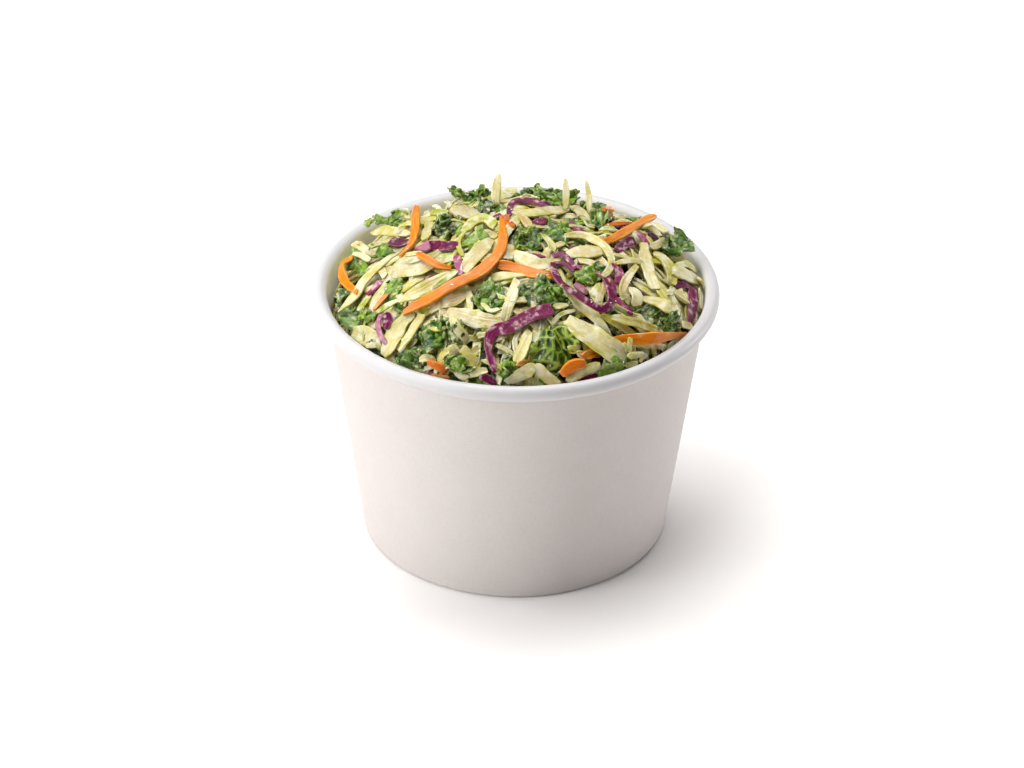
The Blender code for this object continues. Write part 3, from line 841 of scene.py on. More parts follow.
FRONT = {
    "beige under the long carrot": "cabbage sheet 0.15 428,308,12 446,301,17 464,295,12",
    "cream edge": "cabbage ribbon 0.35 466,287,6 468,300,8 470,313,6",
    "rosette": "kale curly 0.42 473,297,26 501,298,28",
    "lime edge of the rosette": "cabbage ribbon 0.85 481,303,5 489,311,6 498,309,4",
    "pink grey bit": "cabbage ribbon 0.05 432,320,5 439,327,5",
    "lime bit": "cabbage ribbon 0.9 444,316,5 448,325,5",
    "leafy cup": "kale curly 0.34 423,337,30 455,338,32",
    "rim of the leafy cup": "cabbage ribbon 0.65 423,325,4 437,331,5 449,326,4",
    "dressed leaf": "kale curly 0.05 448,322,14 464,344,16",
    "dressing film": "cabbage sheet 0.3 449,318,6 458,330,11 467,342,7",
    "cream sheet": "cabbage sheet 0.28 446,312,8 462,316,15 482,321,16 502,322,10",
    "cream bit": "cabbage lump 0.3 477,337,7 488,334,9",
    "lump": "cabbage lump 0.3 450,346,8 457,355,12",
    "lump beside it": "cabbage lump 0.32 461,349,9 470,354,11 478,349,9",
    "yellow lump": "cabbage oval 0.4 456,363,8 468,360,14 480,366,8",
    "pale lump": "cabbage oval 0.2 440,366,9 458,364,9",
    "curl at the rim": "kale curly 0.5 448,373,13 464,373,13",
    "green lumps": "cabbage lump 0.35 464,377,8 476,373,9 487,371,8",
    "pink under the band": "cabbage oval 0.05 491,341,7 507,333,9",
    "whitish leaf": "kale curly 0.05 500,358,14 513,357,15",
    "green leaf": "kale curly 0.5 499,372,15 521,372,15",
    "upright cream": "cabbage ribbon 0.33 529,331,10 523,347,12 516,363,9",
    "yellow end": "carrot lump 0.1 517,363,5 527,363,6",
    "purple at the rim": "red_cabbage oval 0.8 479,377,5 488,379,9 496,384,5",
    "cut sheet": "cabbage sheet 0.38 506,386,6 520,377,13 535,364,11",
    "cut sheet beside it": "cabbage sheet 0.18 534,365,8 545,375,14 559,384,7",
    "pale green at the rim": "cabbage sheet 0.35 566,377,8 583,371,13 600,364,8",
    "purple arc at the rim": "red_cabbage ribbon 0.7 579,381,5 590,376,8 602,373,5",
    "cream edge of the arc": "cabbage ribbon 0.35 583,374,3 592,371,4 602,368,3",
    "carrot at the rim": "carrot stick 0.75 561,374,8 572,365,13 585,361,8",
    "leaf sheet": "cabbage sheet 0.35 352,334,12 364,338,24 376,345,20 383,349,10",
    "lime edge of the sheet": "cabbage ribbon 0.8 376,342,4 380,352,6",
    "olive bit": "cabbage sheet 0.65 404,350,9 416,341,11",
    "curl at the left rim": "kale curly 0.25 399,364,15 423,364,17",
    "cabbage heart": "cabbage ribbon 0.42 383,358,12 391,342,18 401,326,14 411,313,8",
    "rib of the heart": "cabbage ribbon 0.4 402,350,8 411,333,10 422,316,8",
    "lilac tail": "red_cabbage ribbon 0.15 379,317,4 377,328,7 380,338,6 386,346,4",
    "purple head": "red_cabbage oval 0.9 384,316,10 387,323,13 385,331,7",
    "pale bit": "cabbage oval 0.3 419,361,7 427,359,9 435,363,6",
    "carrot at the left rim": "carrot stick 0.75 427,364,8 436,367,12 447,371,10",
    "magenta edge": "red_cabbage ribbon 0.6 428,374,4 438,375,4",
    "peach edge": "carrot ribbon 0.1 431,376,3 449,378,4",
    "pale sweep": "cabbage sliver 0.33 397,303,7 412,296,13 432,285,14 453,273,7",
    "lime side of the sweep": "cabbage ribbon 0.95 431,289,4 444,281,6 456,272,4",
}
ON_TOP = {
    "lilac of the band": "red_cabbage ribbon 0.1 489,352,5 491,361,8 494,370,5",
    "band": "red_cabbage band 0.68 551,308,14 530,315,14 508,327,14 492,332,12 488,344,9 489,358,5 "
            "495,373,4",
    "hook": "red_cabbage band 0.68 551,262,6 553,273,7 560,283,7 573,292,7 590,303,7 602,308,8 610,300,8 "
            "608,288,7 603,277,6",
    "tip of the long carrot": "carrot stick 0.95 502,217,8 507,224,9 513,226,5",
    "long carrot": "carrot strip 0.42 499,217,6 501,235,9 498,250,11 489,263,13 474,275,13 455,284,12 "
                   "430,299,12 402,314,8",
}
STANDING = {
    "tip": "cabbage upright 0.3 494,210,7 493,192,10 496,174,7",
    "faint tip": "cabbage upright 0.3 563,208,6 563,192,7 562,178,5",
    "thin tip": "cabbage upright 0.3 587,213,5 586,195,6 583,179,4",
}
LAID = [LEFT_SIDE, LEFT_TOP, MIDDLE_TOP, RIGHT_SIDE, MIDDLE, FRONT, ON_TOP, STANDING]


# The meshes of what the photograph shows: the spacing of a strip's stations and the points across
# it, and the points along and across a leaf and the curl on it.
STRIP_MESH = (0.9, 7)
LEAF_MESH = (34, 24)
CURL_MESH = (28, 20)
LEAF_SPREAD = 1.12  # of a leaf over what shows of it, because its margin turns away
LEAF_TILT, CURL_TILT = 0.12, 0.3
LEAF_LEAN = 0.25  # by which a leaf faces the camera more than it would as it lies
CURL_SIZE = (0.75, 0.62)  # a curl's length over its leaf's width, and its width over that length
CURL_LIFT = 0.7
CURL_PALER = 0.12
TONE_SPREAD = 0.05
SMOOTH_LAID, SMOOTH_FILLED = 6, 12  # pieces from one smoothing of the map to the next


def lay_kale(heap, kinds, rng, curl, tone, knots):
    """Lay kale along a short path of pixels: a leaf as long as the path, and for a curl one more."""
    path = smooth_path(knots, 1.5)
    middle, normal, half_width = settle(heap, path[:, :2], path[:, 2] / 2 / PIXELS_PER_MM, KALE_LIES)
    seen = np.linalg.norm(path[-1, :2] - path[0, :2]) / PIXELS_PER_MM
    span = middle[-1] - middle[0]
    length = np.clip(np.linalg.norm(span), 0.8 * seen, 1.7 * seen)
    width = 2 * half_width.mean()
    ahead = unit(span)
    up = unit(normal.mean(0) + rng.normal(size=3) * LEAF_TILT - LEAF_LEAN * view_ahead)
    centre = middle.mean(0)
    name = "kale_leafy" if curl == "leafy" else "kale_curly"
    size = (length * LEAF_SPREAD, width * LEAF_SPREAD)
    add_kale(heap, kinds[name], rng, centre, ahead, up, *size, curl, tone, LEAF_MESH, True)
    if curl == "curly":
        heading = unit(np.cross(up, ahead) + ahead * rng.uniform(-0.8, 0.8))
        lean = unit(up + rng.normal(size=3) * CURL_TILT)
        shift = (ahead * rng.uniform(-0.2, 0.2) + heading * rng.uniform(-0.12, 0.12)) * length
        centre = centre + shift + up * CURL_LIFT
        size = (width * CURL_SIZE[0], length * CURL_SIZE[1])
        tone = min(1.0, tone + CURL_PALER)
        add_kale(heap, kinds["kale_curl"], rng, centre, heading, lean, *size, curl, tone, CURL_MESH, True)


def lay_out(heap, kinds):
    """Every piece that the photograph shows, from the bottom up, each with a seed of its own."""
    for place, region in enumerate(LAID):
        heap.smooth()
        for number, row in enumerate(region.values()):
            kind, form, tone, *knots = row.split()
            tone = float(tone)
            knots = [[float(v) for v in knot.split(",")] for knot in knots]
            if number % SMOOTH_LAID == SMOOTH_LAID - 1:
                heap.smooth()
            rng = np.random.default_rng((place, number))
            if kind == "kale":
                lay_kale(heap, kinds, rng, form, tone, knots)
                continue
            path = smooth_path(knots, LAY_SPACING * PIXELS_PER_MM)
            pixels, half_seen = path[:, :2], path[:, 2] / 2 / PIXELS_PER_MM
            upright = form == "upright"
            form = FORMS[form]
            line = stand(pixels, half_seen) if upright else settle(heap, pixels, half_seen, form)
            tone = float(np.clip(tone + rng.normal() * TONE_SPREAD, 0, 1))
            add_strip(heap, kinds[kind], rng, *line, form, tone, *STRIP_MESH, True)


# ------------------------------------------------------------------ materials
def screen(red, green, blue):
    """A colour as linear light, from 0 to 255 screen values."""
    value = np.array([red, green, blue]) / 255
    linear = np.where(value <= 0.04045, value / 12.92, ((value + 0.055) / 1.055) ** 2.4)
    return (*linear.tolist(), 1.0)


class Finish:
    """A material under construction. Each method adds a node and gives back its output socket."""

    def __init__(self, name, roughness, **values):
        self.material = bpy.data.materials.new(name)
        self.material.use_nodes = True
        self.nodes = self.material.node_tree.nodes
        self.links = self.material.node_tree.links
        self.shader = self.nodes["Principled BSDF"]
        self.shader.inputs["Roughness"].default_value = roughness
        for key, value in values.items():
            self.shader.inputs[key.replace("_", " ")].default_value = value

    def set(self, socket, value):
        """Link a socket to an output, or give it a plain value."""
        if isinstance(value, bpy.types.NodeSocket):
            self.links.new(value, socket)
        else:
            socket.default_value = value

    def paint(self, **sockets):
        """Link or set the shader's own sockets by name."""
        for key, value in sockets.items():
            self.set(self.shader.inputs[key.replace("_", " ")], value)
        return self.material

    def place(self):
        """Object coordinates."""
        return self.nodes.new("ShaderNodeTexCoord").outputs["Object"]

    def number(self, name, vector=False):
        """A number that the mesh holds at each point."""
        node = self.nodes.new("ShaderNodeAttribute")
        node.attribute_name = name
        return node.outputs["Vector" if vector else "Fac"]

    def stretch(self, vector, scale):
        """The coordinates, multiplied along each axis."""
        node = self.nodes.new("ShaderNodeMapping")
        self.set(node.inputs["Vector"], vector)
        node.inputs["Scale"].default_value = scale
        return node.outputs["Vector"]

    def noise(self, vector, scale, detail=2.0, rough=0.5, warp=0.0):
        """Cloudy noise from 0 to 1."""
        node = self.nodes.new("ShaderNodeTexNoise")
        self.set(node.inputs["Vector"], vector)
        values = {"Scale": scale, "Detail": detail, "Roughness": rough, "Distortion": warp}
        for key, value in values.items():
            node.inputs[key].default_value = value
        return node.outputs["Fac"]

    def sum(self, operation, *values):
        """Arithmetic on numbers."""
        node = self.nodes.new("ShaderNodeMath")
        node.operation = operation
        for socket, value in zip(node.inputs, values):
            self.set(socket, value)
        return node.outputs[0]

    def rise(self, value, low, high, to_low=0.0, to_high=1.0):
        """A smooth step of a number between two levels."""
        node = self.nodes.new("ShaderNodeMapRange")
        node.interpolation_type = "SMOOTHSTEP"
        for socket, number in zip(node.inputs, (value, low, high, to_low, to_high)):
            self.set(socket, number)
        return node.outputs["Result"]

    def blend(self, share, first, second):
        """Two colours mixed by a share."""
        node = self.nodes.new("ShaderNodeMix")
        node.data_type = "RGBA"
        for place, value in ((0, share), (6, first), (7, second)):
            self.set(node.inputs[place], value)
        return node.outputs[2]

    def coat(self, body, value, low, high, share, *colour):
        """The body, mixed with a screen colour by up to share as a number goes from low to high."""
        return self.blend(self.rise(value, low, high, 0.0, share), body, screen(*colour))

    def ramp(self, value, *stops):
        """A run of screen colours along a number, each with its level first."""
        node = self.nodes.new("ShaderNodeValToRGB")
        self.set(node.inputs["Fac"], value)
        line = node.color_ramp.elements
        while len(line) < len(stops):
            line.new(0.5)
        for element, (level, *colour) in zip(line, stops):
            element.position = level
            element.color = screen(*colour)
        return node.outputs["Color"]

    def relief(self, height, depth, strength):
        """A bump whose height of one stands depth millimetres high."""
        node = self.nodes.new("ShaderNodeBump")
        self.set(node.inputs["Height"], height)
        node.inputs["Distance"].default_value = depth * MM
        node.inputs["Strength"].default_value = strength
        return node.outputs["Normal"]


def cabbage_finish():
    """Pale, see-through cabbage: greener by patches and along its edges, under a film of dressing."""
    f = Finish("white cabbage", 0.24, Subsurface_Weight=0.5, Subsurface_Scale=0.0014)
    fibre = f.number("fibre", vector=True)
    body = f.ramp(f.number("tone"), (0.0, 182, 142, 104), (0.15, 192, 168, 116), (0.3, 202, 190, 136),
                  (0.5, 198, 186, 96), (0.75, 172, 174, 48), (1.0, 122, 150, 28))
    ribs = f.noise(f.stretch(fibre, (0.06, 1.3, 1.0)), 1.4)
    lines = f.noise(f.stretch(fibre, (0.05, 3.0, 1.0)), 1.6)
    patch = f.noise(f.stretch(fibre, (0.3, 0.5, 1.0)), 0.6)
    body = f.coat(body, patch, 0.45, 0.68, 0.5, 180, 172, 66)
    body = f.coat(body, ribs, 0.45, 0.68, 0.22, 180, 164, 84)
    body = f.coat(body, lines, 0.5, 0.7, 0.1, 160, 144, 70)
    body = f.coat(body, f.number("edge"), 0.55, 1.0, 0.7, 174, 172, 46)
    wet = f.noise(f.stretch(fibre, (0.02, 0.0, 1.0)), 3.0, 0.0)
    film = f.sum("ADD", f.noise(f.place(), 420.0, 3.0, 0.6), f.sum("MULTIPLY", wet, 0.3))
    body = f.coat(body, film, 0.53, 0.8, 0.9, 216, 209, 174)
    height = f.sum("ADD", f.sum("MULTIPLY", ribs, 0.8), f.sum("MULTIPLY", film, 0.8))
    bump = f.relief(height, 0.32, 0.9)
    return f.paint(Base_Color=body, Subsurface_Radius=(1.0, 0.8, 0.4), Normal=bump)


def carrot_finish():
    """Bright carrot, a little deeper in its grain, with thin smears of dressing and a painted highlight of
    paler orange along its edges.
    """
    f = Finish("carrot", 0.32, Subsurface_Weight=0.25, Subsurface_Scale=0.0010, Specular_IOR_Level=0.35)
    fibre = f.number("fibre", vector=True)
    grain = f.noise(f.stretch(fibre, (0.12, 1.6, 1.0)), 1.6)
    body = f.ramp(f.number("tone"), (0.0, 214, 158, 86), (0.3, 220, 132, 22), (0.6, 212, 122, 18),
                  (1.0, 176, 74, 20))
    body = f.coat(body, grain, 0.42, 0.62, 0.55, 198, 92, 4)
    # Painted highlight: the strip's edges are mixed towards a paler orange.
    body = f.coat(body, f.number("edge"), 0.6, 1.0, 0.4, 234, 166, 58)
    film = f.noise(f.place(), 420.0, 3.0, 0.55)
    body = f.coat(body, film, 0.57, 0.78, 0.5, 232, 190, 128)
    bump = f.relief(f.sum("ADD", f.sum("MULTIPLY", grain, 0.6), film), 0.3, 0.8)
    return f.paint(Base_Color=body, Subsurface_Radius=(1.0, 0.45, 0.1), Normal=bump)


def red_cabbage_finish():
    """Purple skin with paler ribs, pale lilac where it is cut, smeared with dressing."""
    f = Finish("red cabbage", 0.4, Subsurface_Weight=0.1, Subsurface_Scale=0.0008, Specular_IOR_Level=0.25)
    ribs = f.noise(f.stretch(f.number("fibre", vector=True), (0.08, 1.5, 1.0)), 1.6)
    body = f.ramp(f.number("tone"), (0.0, 174, 116, 134), (0.3, 146, 52, 98), (0.6, 108, 7, 62),
                  (1.0, 62, 4, 38))
    body = f.coat(body, ribs, 0.54, 0.7, 0.25, 176, 84, 140)
    body = f.coat(body, ribs, 0.46, 0.34, 0.4, 72, 3, 46)
    body = f.coat(body, f.number("edge"), 0.88, 1.0, 0.45, 190, 128, 154)
    film = f.noise(f.place(), 560.0, 3.0, 0.6)
    body = f.coat(body, film, 0.5, 0.72, 0.8, 214, 178, 180)
    return f.paint(Base_Color=body, Subsurface_Radius=(1.0, 0.4, 0.7), Normal=f.relief(film, 0.3, 0.8))


def kale_finish():
    """Green kale, paler along its veins, paler at its curled margin (partly its own paler rim, partly a
    painted highlight where the curls catch the light), and with dressing in its folds.
    """
    f = Finish("kale", 0.28, Subsurface_Weight=0.08, Subsurface_Scale=0.0006)
    leaf, tone, net = f.number("leaf", vector=True), f.number("tone"), f.number("net")
    split = f.nodes.new("ShaderNodeSeparateXYZ")
    f.set(split.inputs[0], leaf)
    rib = f.rise(f.sum("ABSOLUTE", split.outputs[1]), 0.35, 0.1, 0.0, 0.6)
    shade = f.sum("ADD", f.noise(leaf, 0.5, 3.0, 0.6), f.rise(tone, 0.0, 1.0, -0.12, 0.18))
    shade = f.sum("SUBTRACT", shade, f.sum("MULTIPLY", net, 0.22))
    body = f.ramp(shade, (0.32, 28, 50, 3), (0.5, 58, 96, 8), (0.66, 106, 142, 32), (0.84, 150, 170, 50))
    crease = f.rise(f.number("crease"), 0.28, 0.0)
    vein = f.sum("MULTIPLY", crease, f.rise(net, 0.0, 1.0, 0.7, 0.95))
    # The curled margin is mixed towards the paler green: partly the leaf's own paler rim, partly a painted
    # highlight where the curls catch the light.
    margin = f.rise(f.number("margin"), 0.6, 1.0, 0.0, 0.6)
    light = f.ramp(tone, (0.0, 116, 139, 76), (0.4, 123, 152, 47), (1.0, 168, 181, 60))
    body = f.blend(f.sum("MAXIMUM", f.sum("MAXIMUM", vein, rib), margin), body, light)
    film = f.noise(f.place(), 600.0, 3.0, 0.65)
    pooled = f.sum("ADD", film, f.rise(f.number("hollow"), -0.25, 0.35, -0.08, 0.06))
    pooled = f.sum("ADD", pooled, f.rise(tone, 0.0, 0.4, 0.12, 0.0))
    pooled = f.sum("SUBTRACT", pooled, f.sum("MULTIPLY", net, 0.08))
    body = f.coat(body, pooled, 0.49, 0.67, 0.8, 200, 202, 150)
    return f.paint(Base_Color=body, Subsurface_Radius=(0.6, 1.0, 0.2), Normal=f.relief(pooled, 0.4, 0.9))


def dressing_finish():
    """Glossy cream."""
    f = Finish("dressing", 0.2, Subsurface_Weight=0.3, Subsurface_Scale=0.0010)
    return f.paint(Base_Color=screen(229, 223, 197), Subsurface_Radius=(1.0, 0.8, 0.5))


def core_finish():
    """Dressing and the finest shreds, seen between the pieces, coloured far darker than dressing as
    painted shade of the gaps.
    """
    f = Finish("dressed core in painted shade", 0.4, Subsurface_Weight=0.1, Subsurface_Scale=0.0010)
    mix = f.noise(f.place(), 260.0, 3.0, 0.6, 1.0)
    # Painted shade: dark olive to beige, for the shade deep among the pieces.
    body = f.ramp(mix, (0.32, 61, 59, 20), (0.45, 99, 85, 40), (0.62, 139, 122, 75), (0.75, 164, 149, 106))
    return f.paint(Base_Color=body, Subsurface_Radius=(1.0, 0.8, 0.4), Normal=f.relief(mix, 0.5, 0.8))


def paper_finish():
    """Uncoated board, faintly felted with upright and level fibres, and coated smooth inside.

    The rolled rim shows the coated side, because the board is rolled outwards there; the roll's outward
    and lower face is painted a darker grey, as painted shade.
    """
    f = Finish("cup paper", 0.62, Specular_IOR_Level=0.4)
    sheet, coated = f.number("sheet", vector=True), f.number("coated")
    upright = f.noise(f.stretch(sheet, (2.6, 0.5, 1.0)), 1.0, 3.0, 0.6)
    level = f.noise(f.stretch(sheet, (0.5, 2.6, 1.0)), 1.0, 3.0, 0.6)
    felt = f.sum("ADD", upright, level)
    cloud = f.noise(sheet, 0.12, 3.0)
    shade = f.sum("ADD", f.sum("MULTIPLY", felt, 0.4), f.sum("MULTIPLY", cloud, 0.2))
    body = f.ramp(shade, (0.36, 195, 188, 184), (0.64, 202, 196, 193))
    body = f.blend(coated, body, screen(243, 242, 240))
    # Painted shade: the rolled rim's outward and lower face is mixed towards a darker grey.
    body = f.blend(f.number("lip_shade"), body, screen(198, 196, 197))
    felt = f.sum("MULTIPLY", felt, f.rise(coated, 1.0, 0.0))
    roughness = f.rise(coated, 0.0, 1.0, 0.62, 0.42)
    return f.paint(Base_Color=body, Roughness=roughness, Normal=f.relief(felt, 0.03, 0.6))


# ------------------------------------------------------------------ the cup
CUP_COLUMNS = 256
SEAM_RISE, SEAM_FALL = 1.0, 3.0
SHEET_RADIUS = 40.0  # at which the board's fibres have their true size


def turned(profile, lapped):
    """A profile of (radius, z) rows turned about Z, and its places on the flat sheet of board.

    Rows whose lapped is one stand out by the seam's step at the back, which rises and falls off
    at the seam's two sides.
    """
    angle = (np.linspace(0, TURN, CUP_COLUMNS, endpoint=False) + math.pi / 2)[:, None]
    around = (angle - math.pi / 2 + math.pi) % TURN - math.pi
    arc = around * profile[None, :, 0] + SEAM_WIDTH / 2
    seam = np.clip(arc / SEAM_RISE, 0, 1) * np.clip((SEAM_WIDTH - arc) / SEAM_FALL, 0, 1)
    grid = polar(profile[None, :, 0] + SEAM_STEP * lapped * seam, angle, profile[None, :, 1])
    sheet = np.stack(np.broadcast_arrays(angle * SHEET_RADIUS, length_along(profile)[None], 0.0), -1)
    return grid, sheet


def sidewall_profile():
    """Cross-section of the side wall: a strip of board folded at the hem and rolled at the rim."""
    centre = np.array([RIM_RADIUS - ROLL_WIDTH / 2, CUP_HEIGHT - ROLL_HEIGHT / 2])
    half = np.array([ROLL_WIDTH / 2, ROLL_HEIGHT / 2])
    turns = np.radians(np.linspace(172, -122, 34))[:, None]
    around = np.concatenate([np.cos(turns), np.sin(turns)], 1)
    lip_outside = centre + half * around
    lip_inside = centre + (half - BOARD) * around
    wall_top = CUP_HEIGHT - ROLL_HEIGHT
    outer = np.array([[FOOT_RADIUS + WALL_SLOPE * z, z] for z in np.linspace(FOOT_GAP, wall_top, 24)])
    lean = WALL_SLOPE * HEM_HEIGHT
    folded = FOOT_RADIUS - HEM_DEPTH
    down = np.linspace(wall_top, BOARD, 16)
    inner = np.array([[FOOT_RADIUS + WALL_SLOPE * z - BOARD, z] for z in down])
    hem = np.array([
        (folded + BOARD, BOARD), (folded + BOARD + lean, HEM_HEIGHT), (folded + lean, HEM_HEIGHT),
        (folded, 0.3), (folded + 0.1, 0.0), (FOOT_RADIUS - 1.45, 0.0), (FOOT_RADIUS - 1.3, 0.25),
        (FOOT_RADIUS - 0.8, 0.3), (FOOT_RADIUS - 0.2, FOOT_GAP - 0.1),
        (FOOT_RADIUS - 0.05, FOOT_GAP - 0.03),
    ])
    roll = len(outer) + len(lip_inside)
    coated, lip_shade, lapped = np.zeros((3, roll + len(lip_outside) + len(inner) + len(hem)))
    coated[roll : -len(hem)] = 1.0
    # Share of painted shade on the roll: full from the crest round the outside and underneath, none on its
    # inner face.
    facing_out = np.clip((math.radians(165) - turns[::-1, 0]) / math.radians(60), 0, 1)
    lip_shade[roll : roll + len(lip_outside)] = facing_out
    lapped[: len(outer) - 3] = 1.0
    return np.concatenate([outer, lip_inside, lip_outside[::-1], inner, hem]), coated, lip_shade, lapped


def build_turned(name, replaced, paper, profile, coated, lip_shade, lapped):
    """A closed profile turned about Z, in paper, with what its finish reads at each point."""
    grid, sheet = turned(profile, lapped)
    points = grid.reshape(-1, 3)
    quads = outward(points, tube_quads(CUP_COLUMNS, len(profile), CUP_COLUMNS))
    numbers = {"sheet": sheet.reshape(-1, 3)}
    for key, value in (("coated", coated), ("lip_shade", lip_shade)):
        numbers[key] = np.tile(value, CUP_COLUMNS)
    build_piece(name, points, quads, numbers, paper, [replaced])


def build_cup():
    """The paper cup's wall, and its base: a disc with a skirt inside the hem."""
    paper = paper_finish()
    build_turned("paper_wall", "cup_sidewall", paper, *sidewall_profile())
    face = FOOT_RADIUS - BOARD - 0.3
    corner = face + WALL_SLOPE * BASE_TOP
    profile = np.array([
        (0.02, BASE_TOP), (12, BASE_TOP), (24, BASE_TOP), (corner - 0.4, BASE_TOP),
        (corner, BASE_TOP - 0.4), (face, 0.8), (face - 0.4, 0.8),
        (face - 0.4 + WALL_SLOPE * BASE_UNDERSIDE, BASE_UNDERSIDE), (24, BASE_UNDERSIDE),
        (12, BASE_UNDERSIDE), (0.02, BASE_UNDERSIDE),
    ])
    build_turned("paper_base", "cup_base", paper, profile, *np.zeros((3, len(profile))))


# ------------------------------------------------------------------ the core
CORE_SEED, HEAP_SEED = 7, 2026
CORE_COLUMNS, CORE_RINGS = 260, 110
CORE_RIDGES = 420


def build_core(heap):
    """The core: a polar grid whose top follows the map before anything lies on it, with fine ridges.

    A ridge is tall * exp(-along^4 - across^2), where along and across run from its middle in units
    of its half length and half width.
    """
    rng = np.random.default_rng(CORE_SEED)
    angle = np.linspace(0, TURN, CORE_COLUMNS, endpoint=False)[:, None]
    radius = (HEAP_RADIUS - 0.5) * np.linspace(0.004, 1, CORE_RINGS)[None, :]
    x, y = radius * np.cos(angle), radius * np.sin(angle)
    base = heap.read(heap.height, x, y)
    z = base
    for _ in range(CORE_RIDGES):
        at = HEAP_RADIUS * math.sqrt(rng.uniform())
        bearing, heading = rng.uniform(0, TURN, 2)
        half_long, half_wide, tall = rng.uniform(2, 6), rng.uniform(0.5, 1.1), rng.uniform(0.4, 1.5)
        dx, dy = x - at * math.cos(bearing), y - at * math.sin(bearing)
        along = (dx * math.cos(heading) + dy * math.sin(heading)) / half_long
        across = (dy * math.cos(heading) - dx * math.sin(heading)) / half_wide
        z = np.maximum(z, base + tall * np.exp(-(along**4) - across**2))
    levels = np.linspace(CUP_HEIGHT - 12, BASE_TOP + 0.4, 6)
    side = wall_inside(levels) - 0.6
    floor = np.array([side[-1] * 0.6, side[-1] * 0.2, 0.1])
    walls = [polar(side, angle, levels), polar(floor, angle, levels[-1])]
    grid = np.concatenate([np.stack([x, y, z], -1), *walls], 1)
    points = grid.reshape(-1, 3)
    quads = outward(points, tube_quads(CORE_COLUMNS, grid.shape[1], CORE_COLUMNS))
    build_piece("slaw_core", points, quads, {}, core_finish(), ["slaw"])


# ------------------------------------------------------------------ filling the heap
UNSEEN_FROM = 22.0  # behind here carrot and red cabbage are random too
PURPLE_FROM = 8.0  # right of here dark purple shreds lie among the white ones
PURPLE_SHARE = 0.1  # of them
PURPLE_UNDER = 2.0  # only the fillings that stay deeper than this have them
CURLY_SHARE = 0.6  # of the random bits of kale
TRIES = 8  # random places, of which the lowest is filled
SHOWN_COST = 99.0  # taken off the depth of a place where a piece of the photograph lies
STRIP_MAY_HIDE = 0.06  # the share of a random piece that may lie before what the photograph shows
KALE_MAY_HIDE = 0.12
FILL_STRIP_MESH = (1.5, 5)
FILL_LEAF_MESH = (20, 13)
# For each kind of random strip: its forms, its width and length in millimetres, how much it bows,
# and the two numbers of the beta distribution of its tone.
RANDOM_STRIPS = {
    "cabbage": (("ribbon", "ribbon", "ribbon", "sliver"), (1.1, 2.6), (9, 24), 0.8, (1.7, 2.6)),
    "carrot": (("stick",), (1.5, 2.4), (8, 20), 0.5, (2.0, 3.0)),
    "red_cabbage": (("ribbon",), (1.3, 2.6), (7, 18), 1.5, (4.0, 1.2)),
}
# The fillings under the pieces that the photograph shows, and the one over them: how many pieces
# are tried, how far under the outline their places lie, the pieces' scale, and the kinds' shares.
FILL_KINDS = ("cabbage", "carrot", "red_cabbage", "kale")
UNDER = (
    (420, 3.0, 1.0, (0.64, 0.07, 0.11, 0.18)),
    (500, 2.2, 0.75, (0.83, 0.05, 0.04, 0.08)),
)
OVER = (300, 1.6, 0.7, (0.84, 0.06, 0.04, 0.06))
DROPS = 150
DROP_SIZES = (0.12, 0.38)  # half of a drop's length, in millimetres
DROP_DEPTH = 2.5  # drops lie no further than this under the outline


def low_spot(heap, rng):
    """The place that lies furthest under the outline among a few random ones where nothing shows."""
    radius = (HEAP_RADIUS - 1.5) * np.sqrt(rng.uniform(size=TRIES))
    bearing = rng.uniform(0, TURN, TRIES)
    x, y = radius * np.cos(bearing), radius * np.sin(bearing)
    depth = heap_outline(x, y) - heap.read(heap.height, x, y) - SHOWN_COST * heap.read(heap.shown, x, y)
    best = depth.argmax()
    return x[best], y[best], depth[best]


def keep_inside(x, y, limit):
    """The path, shifted towards the middle until none of it lies beyond the limit."""
    for _ in range(4):
        radius = np.hypot(x, y)
        far = radius.argmax()
        over = max(0.0, radius[far] - limit) / radius[far]
        x, y = x - x[far] * over, y - y[far] * over
    return x, y


def drop_strip(heap, kinds, rng, kind, x, y, scale):
    """Drop a random strip on the heap, unless it would hide what the photograph shows."""
    forms, widths, lengths, bow, (tone_up, tone_down) = RANDOM_STRIPS[kind]
    form = FORMS[forms[rng.integers(len(forms))]]
    width = rng.uniform(*widths) * (0.3 + 0.7 * scale)
    length = rng.uniform(*lengths) * scale
    heading = rng.uniform(0, TURN)
    tone = float(rng.beta(tone_up, tone_down))
    x, y = bowed_path(rng, x, y, heading, length, rng.normal() * bow, LAY_SPACING)
    x, y = keep_inside(x, y, FREE_RADIUS - 0.5 * width)
    half_width = np.full(len(x), width / 2)
    half_thick = np.full(len(x), form["thick"] / 2 + form["share"] * width / 2)
    middle, normal = rest_on(heap, x, y, half_width, half_thick, form)
    s = np.linspace(0, 1, len(x))
    lift = rng.uniform(-0.6, 0.9, 2)
    middle[:, 2] += lift[0] * (1 - s) ** 3 + lift[1] * s**3
    side = strip_axes(middle, normal)[1] * width / 2
    if heap.in_the_way(np.stack([middle - side, middle, middle + side])) > STRIP_MAY_HIDE:
        return
    add_strip(heap, kinds[kind], rng, middle, normal, half_width, form, tone, *FILL_STRIP_MESH, False)


